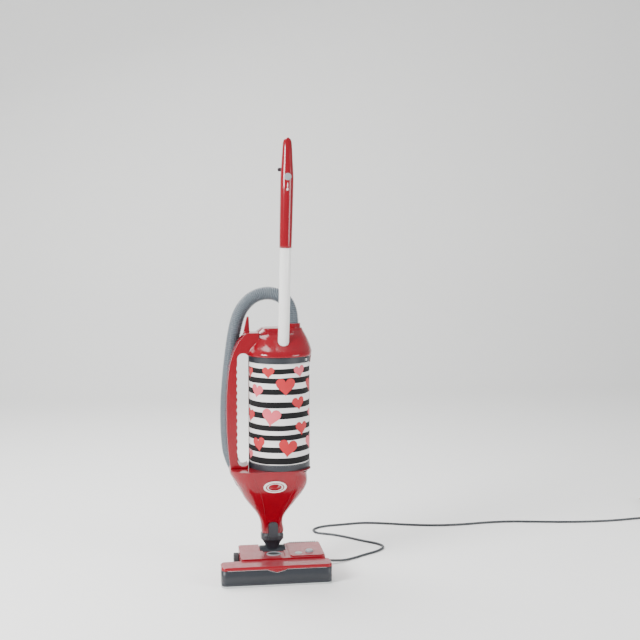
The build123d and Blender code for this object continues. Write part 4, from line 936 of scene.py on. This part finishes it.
@dataclass
class BrushBar:
    """Dark visor of the brush bar with the red lip that dips in its middle."""

    half: float = 155.0
    front: float = -118.0
    rear: float = -56.4
    corner: float = 14.0
    high: float = 50.0
    flat: int = 134
    line_half: int = 138
    step: int = 2
    section: Pairs = (
        (1.4, 5.4), (0.8, 6.6), (0.7, 12.0), (1.2, 12.6), (1.2, 13.8), (0.7, 14.4), (0.7, 49.8),
        (3.0, 49.8), (3.0, 5.4),
    )
    lip_section: Pairs = (
        (0.6, 50.6), (0.05, 50.2), (0.05, 0.0), (0.9, 0.0), (0.9, 50.6)
    )
    dip_half: float = 28.0
    dip: float = 9.0
    louvres: int = 14
    louvre_left: float = 56.0
    louvre_right: float = 129.0
    louvre_back: float = 71.8
    blade: tuple[float, float] = (1.55, 3.6)
    blade_levels: Pairs = ((58.0, 0.0), (65.6, 0.0), (66.6, 0.35), (66.9, 0.8))

    def outline(self, inset: float) -> list[tuple[float, float]]:
        """Gives the open outline round the bar's front and ends.

        Args:
            inset: millimetres inside the bar's true outline.

        Returns:
            Plan points from the left end to the right end, in millimetres.
        """
        edge, front, radius = self.half - inset, self.front + inset, self.corner - inset
        rear, steps = self.rear, 8
        waist = (rear + front + radius) / 2
        bends = [math.pi / 2 * k / steps for k in range(steps + 1)]
        points = [(-edge, rear), (-edge, waist)]
        points += [
            (-edge + radius * (1 - math.cos(t)), front + radius * (1 - math.sin(t))) for t in bends
        ]
        points += [(x, front) for x in range(-self.flat, self.flat + 1, self.step)]
        points += [
            (edge - radius * (1 - math.sin(t)), front + radius * (1 - math.cos(t))) for t in bends
        ]
        return points + [(edge, waist), (edge, rear)]

    def lip_height(self, x: float) -> float:
        """Gives the height of the red lip's lower edge, lowest in the middle."""
        near = max(0.0, 1 - abs(x) / self.dip_half)
        return self.high - 1.5 - self.dip * near**0.8

    def wall(self, name: str, levels: Sequence[tuple[float, float]], finish: Finish) -> Piece:
        """Stands a wall on the outline.

        Args:
            name: object name.
            levels: inset and height pairs round the section; a height of 0 is the lip's edge.
            finish: what it is made of.

        Returns:
            The wall.
        """
        rows = [
            [Vector((x, y, height or self.lip_height(x))) * MM for x, y in self.outline(inset)]
            for inset, height in levels
        ]
        return mesh_piece(name, *skin(list(zip(*rows))), finish)

    def build(self) -> None:
        """Makes the visor, the red lip and the pale line under it."""
        visor = self.wall("visor_shell", self.section, SATIN_DARK_POLYPROPYLENE)
        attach(visor, "power_head")
        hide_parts("front_visor")
        lip = self.wall("red_lip", self.lip_section, DUSTY_RED_ABS)
        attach(lip, "power_head")
        path = [
            Vector((x, self.front + 0.45, self.lip_height(x) - 0.5)) * MM
            for x in range(-self.line_half, self.line_half + 1, self.step)
        ]
        radii = [0.4 * MM] * len(path)
        line = mesh_piece("lip_line", *skin(rings_along(path, radii, 8)), SATIN_PALE_ABS)
        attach(line, "power_head")
        comb = self.louvre_comb()
        LOG.info("%s, %s, %s, %s", visor.name, lip.name, line.name, comb.name)

    def louvre_comb(self) -> Piece:
        """Makes the dark comb of louvre blades in the rear edge of the raised block.

        Returns:
            The comb.
        """
        corners, faces = [], []
        for n in range(self.louvres):
            part = n / (self.louvres - 1)
            middle = self.louvre_left + (self.louvre_right - self.louvre_left) * part
            rings = []
            for height, inset in self.blade_levels:
                wide, deep = (half - inset for half in self.blade)
                ring = []
                for t in turns(12):
                    across, back = squared(t, 0.6)
                    x, y = middle + wide * across, self.louvre_back + deep * back
                    ring.append(Vector((x, y, height)) * MM)
                rings.append(ring)
            more, sides = skin(rings)
            faces += [[len(corners) + c for c in face] for face in sides]
            corners += more
        comb = mesh_piece("louvre_comb", corners, faces, MATT_DARK_POLYPROPYLENE)
        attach(comb, "power_head")
        return comb


@dataclass
class UpperShell:
    """Dome and carry rail as one flowing moulding with soft moulded edges."""

    voxel: float = 1.5
    rounds: int = 5
    weld: float = 0.02
    parts: tuple[str, ...] = ("dome_lid", "carry_rail", "tube_socket")

    def build(self) -> Piece:
        """Joins the closed shells, then lets their junctions flow.

        Returns:
            The shell.
        """
        corners, faces = [], []
        for name in self.parts:
            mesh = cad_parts[name].data
            start = len(corners)
            corners += [v.co.copy() for v in mesh.vertices]
            faces += [[start + v for v in f.vertices] for f in mesh.polygons]
        shell = mesh_piece("upper_shell", corners, faces, GLOSS_RED_ABS)
        weld = shell.modifiers.new("weld", "WELD")
        weld.merge_threshold = self.weld * MM
        voxels = shell.modifiers.new("one skin", "REMESH")
        voxels.mode = "VOXEL"
        voxels.voxel_size = self.voxel * MM
        voxels.use_smooth_shade = True
        ease = shell.modifiers.new("soft edges", "SMOOTH")
        ease.factor = 0.5
        ease.iterations = self.rounds
        graph = bpy.context.evaluated_depsgraph_get()
        ready = bpy.data.meshes.new_from_object(shell.evaluated_get(graph), depsgraph=graph)
        shell.modifiers.clear()
        shell.data = ready
        GLOSS_RED_ABS.dress(shell)
        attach(shell, "upright")
        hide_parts(*self.parts)
        LOG.info("upper shell: %d faces", len(ready.polygons))
        return shell


@dataclass
class SurfaceLines:
    """Painted crease shade lines and the badge's red field, laid on the front of the lower housing.
    """

    creases: tuple[Pairs, ...] = (
        ((-62, 300), (-46, 262), (-34, 226), (-26, 186), (-22, 150)),
        ((66, 302), (56, 262), (44, 226), (30, 186), (22, 150)),
    )
    crease_radius: float = 0.5
    sunk: float = 0.12
    badge_half: tuple[float, float] = (32.5, 19.0)
    badge_tilt: float = 24.0
    ovals: Pairs = ((0.80, 0.70), (0.58, 0.0))

    def build(self) -> None:
        """Lays a darker line of painted shade along each crease of the housing's skin, then the field
        on the badge.
        """
        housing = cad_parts["lower_housing"]
        for n, crease in enumerate(self.creases):
            guide = line_points([(x * MM, 0.0, z * MM) for x, z in crease], 2 * MM)
            places = []
            for point in guide:
                found, hit, normal, _ = housing.ray_cast((point.x, -0.4, point.z), (0, 1, 0))
                if found:
                    places.append(hit - normal * self.sunk * MM)
            # The line thins out over eight points at each end.
            ends = [min(1.0, (k + 1) / 8, (len(places) - k) / 8) for k in range(len(places))]
            radii = [self.crease_radius * MM * end for end in ends]
            rings = rings_along(places, radii, 8)
            # Each line is painted shade: a thin darker red tube sunk in the skin where the crease
            # lies in shade.
            line = mesh_piece(f"housing_crease_shade_{n}", *skin(rings), CREASE_SHADE_RED_ABS)
            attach(line, "upright")
        LOG.info("housing creases: %d, %s", len(self.creases), self.field().name)

    def field(self) -> Piece:
        """Makes the plain red oval and the red ring round it on the white badge.

        Returns:
            The oval and its ring as one piece.
        """
        tilt = math.radians(self.badge_tilt)
        low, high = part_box("badge")
        middle = (low + high) / 2
        outward = Vector((0, -math.cos(tilt), -math.sin(tilt)))
        upward = Vector((0, -math.sin(tilt), math.cos(tilt)))
        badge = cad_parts["badge"]
        found, hit, _, _ = badge.ray_cast(middle + outward * 0.1, -outward)
        face = hit if found else middle
        wide, tall = (half * MM for half in self.badge_half)
        corners, faces, count = [], [], 48
        for outer, inner in self.ovals:
            start = len(corners)
            for share, stand in ((outer, -0.3), (outer, 0.22), (inner, 0.22), (inner, -0.3)):
                for t in turns(count):
                    up = upward * (tall * share * math.sin(t)) + outward * stand * MM
                    corners.append(face + Vector((wide * share * math.cos(t), 0, 0)) + up)
            for row in range(start, start + 3 * count, count):
                faces += quads(closed(row, count), closed(row + count, count))
        field_piece = mesh_piece("badge_field", corners, faces, GLOSS_RED_ABS)
        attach(field_piece, "upright")
        return field_piece


@dataclass
class Hose:
    """Ribbed suction hose from the dome's collar to the inlet elbow."""

    radius: float = 19.5
    groove: float = 3.0
    pitch: float = 5.2
    route: Route = (
        (62, 55, 704), (62, 55, 742), (46, 56, 786), (0, 58, 808), (-52, 62, 796), (-88, 68, 756),
        (-104, 71, 700), (-114, 73, 630), (-123, 75, 550), (-128, 76, 470), (-127, 77, 390),
        (-119, 80, 322), (-90, 88, 268),
    )

    def build(self) -> Piece:
        """Makes the ribbed tube along the smooth line of the route.

        Returns:
            The hose.
        """
        route = [tuple(c * MM for c in p) for p in self.route]
        places = line_points(route, self.pitch * MM / 6)
        # A rib is a round crest over two thirds of the pitch, and a narrow groove beside it.
        crest = (0.0, 0.55, 0.9, 1.0, 0.9, 0.55)
        radii = [(self.radius - self.groove * (1 - crest[i % 6])) * MM for i in range(len(places))]
        hose = mesh_piece("ribbed_hose", *skin(rings_along(places, radii, 32)), WAXY_POLYETHYLENE)
        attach(hose, "upright")
        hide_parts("hose")
        LOG.info("ribbed hose: %d ribs", len(places) // 6)
        return hose


@dataclass
class MainsLead:
    """Whole mains lead: from the gland over the floor, coiled away, and out to its plug."""

    radius: float = 3.6
    gland: Point = (171.0, 58.0, 10.5)
    drop: Point = (206.0, 63.0, 5.6)
    run: Pairs = (
        (247, 88), (292, 121), (338, 150), (366, 188), (352, 226), (312, 257), (270, 303),
        (224, 344), (172, 366), (168, 412), (212, 443), (276, 451), (344, 464), (412, 448),
        (486, 420), (572, 398), (662, 394), (752, 408), (842, 410), (932, 392), (1022, 376),
        (1112, 368), (1202, 371), (1290, 386), (1368, 393),
    )
    coil_centre: tuple[float, float] = (1428.0, 455.0)
    coil_radius: float = 57.5
    rows: tuple[tuple[float, tuple[float, ...]], ...] = (
        (3.7, (9.3, 3.1, -3.1, -9.3)),
        (9.9, (-6.2, 0.0, 6.2)),
        (16.1, (9.3, 3.1, -3.1, -9.3)),
        (22.2, (-6.2, 0.0, 6.2)),
    )
    turn_points: int = 16
    relief_root: float = 143.2
    relief_radii: tuple[float, float, float] = (8.2, 7.6, 4.4)
    slot: float = 0.9
    tie_middle: float = 13.0
    tie_half: tuple[float, float, float] = (13.6, 5.0, 12.9)
    tie_thick: float = 0.8
    tail: Route = (
        (1485.5, 461, 18), (1487.5, 491, 14), (1494.5, 519, 11), (1494.5, 547, 11),
        (1477.5, 566, 15), (1448, 567, 18.5),
    )

    def coil(self) -> list[Point]:
        """Winds the spare length turn beside turn, up and down through the rows.

        Returns:
            Control points of all turns in millimetres.
        """
        lanes = [(height, offset) for height, offsets in self.rows for offset in offsets]
        quarter = self.turn_points // 4
        out = []
        for n in range((len(lanes) - 1) * self.turn_points + quarter + 1):
            lane, part = divmod(n, self.turn_points)
            height, offset = lanes[lane]
            ahead = lanes[min(lane + 1, len(lanes) - 1)]
            # A turn keeps its lane, and changes to the next lane over its last quarter.
            shift = max(0.0, (part - self.turn_points + quarter) / quarter)
            height += (ahead[0] - height) * shift
            reach = self.coil_radius + offset + (ahead[1] - offset) * shift
            turn = 2 * math.pi * (n / self.turn_points) - math.pi / 2
            x, y = self.coil_centre
            out.append((x + reach * math.cos(turn), y + reach * math.sin(turn), height))
        return out

    def build(self) -> None:
        """Makes the lead, its strain relief and the tie round the coil."""
        floor_run = [(x, y, self.radius) for x, y in self.run]
        places = (self.gland, self.drop, *floor_run, *self.coil(), *self.tail)
        route = [tuple(c * MM for c in place) for place in places]
        lead = nurbs("mains_lead", route, self.radius * MM, PVC_LEAD)
        measured = line_points(route, 0.01)
        relief = self.strain_relief()
        tie = self.tie()
        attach(lead, "power_head")
        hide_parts("mains_cord", "cord_coil", "cord_tail")

    def strain_relief(self) -> Piece:
        """Makes the tapered and slotted sleeve where the lead leaves the head.

        Returns:
            The sleeve.
        """
        rings, steps = [], 56
        end, middle, height = self.gland
        collar, root, tip = self.relief_radii
        for n in range(steps + 1):
            reach = n / steps
            slot = self.slot if (n // 4) % 2 and 0.1 < reach < 0.92 else 0.0
            radius = collar if n < 5 else root + (tip - root) * reach - slot
            x = self.relief_root + (end - self.relief_root) * reach
            rings.append(
                [
                    Vector((x, middle + radius * math.cos(t), height + radius * math.sin(t))) * MM
                    for t in turns(24)
                ]
            )
        relief = mesh_piece("strain_relief", *skin(rings), MOULDED_RUBBER)
        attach(relief, "power_head")
        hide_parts("lead_gland")
        return relief

    def tie(self) -> Piece:
        """Makes the strap that holds the coil's turns together.

        Returns:
            The strap.
        """
        half_reach, half_width, half_height = self.tie_half
        rings = []
        for side in (-half_width, half_width):
            ring = []
            for t in turns(32):
                across, up = squared(t, 0.5)
                x = self.coil_centre[0] - self.coil_radius - half_reach * across
                height = self.tie_middle + half_height * up
                ring.append(Vector((x, self.coil_centre[1] + side, height)) * MM)
            rings.append(ring)
        tie = mesh_piece("coil_tie", *skin(rings, capped=False), MOULDED_RUBBER)
        thick = tie.modifiers.new("thickness", "SOLIDIFY")
        thick.thickness = self.tie_thick * MM
        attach(tie, "power_head")
        return tie


@dataclass
class Studio:
    """Pale floor, soft light and the camera. Its lengths are metres."""

    eye: Point = (-0.284, -2.945, 0.985)
    heading: tuple[float, float] = (0.141, 0.990)
    pitch_degrees: float = 4.9
    lens_mm: float = 59.06
    lamps: tuple[tuple[str, Point, Point, float, float], ...] = (
        ("window light", (-2.3, -1.4, 1.9), (0.0, 0.0, 0.6), 1.1, 150.0),
        ("fill light", (2.4, -1.9, 1.3), (0.0, 0.0, 0.5), 1.4, 60.0),
        ("ceiling light", (-0.7, 1.3, 3.0), (0.3, 0.4, 0.0), 1.8, 120.0),
    )
    floor_front: float = -6.0
    floor_half: float = 8.0
    cove_start: float = 3.2
    cove_radius: float = 0.9
    wall_height: float = 5.0

    def build(self) -> None:
        """Lays the floor, hangs the lights and places the camera."""
        self.floor()
        for lamp in self.lamps:
            self.lamp(*lamp)
        world = bpy.data.worlds.new("soft room")
        world.use_nodes = True
        room = world.node_tree.nodes["Background"]
        room.inputs["Color"].default_value = linear("#E9EAEC")
        room.inputs["Strength"].default_value = 0.8
        bpy.context.scene.world = world
        camera = bpy.data.cameras.new("camera")
        camera.lens = self.lens_mm
        camera.sensor_width = 36.0
        eye = link("camera", camera)
        eye.location = self.eye
        drop = math.tan(math.radians(self.pitch_degrees))
        aim = Vector((self.heading[0], self.heading[1], -drop * math.hypot(*self.heading)))
        eye.rotation_euler = aim.to_track_quat("-Z", "Y").to_euler()
        bpy.context.scene.camera = eye
        LOG.info("studio: floor, three lamps, camera")

    def floor(self) -> None:
        """Lays a wide pale floor that curves up behind into a wall."""
        start, radius = self.cove_start, self.cove_radius
        profile = [(self.floor_front, 0.0), (start, 0.0)]
        for k in range(1, 13):
            turn = math.pi / 2 * k / 12
            profile.append((start + radius * math.sin(turn), radius - radius * math.cos(turn)))
        profile.append((start + radius, self.wall_height))
        corners = [(x, y, z) for x in (-self.floor_half, self.floor_half) for y, z in profile]
        span = len(profile)
        faces = [[k, k + span, k + span + 1, k + 1] for k in range(span - 1)]
        mesh = bpy.data.meshes.new("floor")
        mesh.from_pydata(corners, [], faces)
        mesh.polygons.foreach_set("use_smooth", [True] * len(mesh.polygons))
        floor = link("floor", mesh)
        Finish("pale matt paper floor", "", "#F7F7F5", "#F4F4F2", 0.85, height_mm=0.01).dress(floor)

    def lamp(self, name: str, place: Point, aim: Point, size: float, power: float) -> None:
        """Hangs one soft square lamp.

        Args:
            name: lamp name.
            place: where it hangs in metres.
            aim: point that it faces.
            size: side of the lamp in metres.
            power: watts.
        """
        light = bpy.data.lights.new(name, "AREA")
        light.size = size
        light.energy = power
        lamp = link(name, light)
        lamp.location = place
        lamp.rotation_euler = (Vector(aim) - Vector(place)).to_track_quat("-Z", "Y").to_euler()


def main() -> None:
    """Builds the looks piece by piece."""
    logging.basicConfig(level=logging.INFO, format="%(message)s")
    Studio().build()
    CadSkins().build()
    MainsLead().build()
    Hose().build()
    FilterCover().build()
    Handle().build()
    BrushBar().build()
    UpperShell().build()
    SurfaceLines().build()


if __name__ == "__main__":
    main()
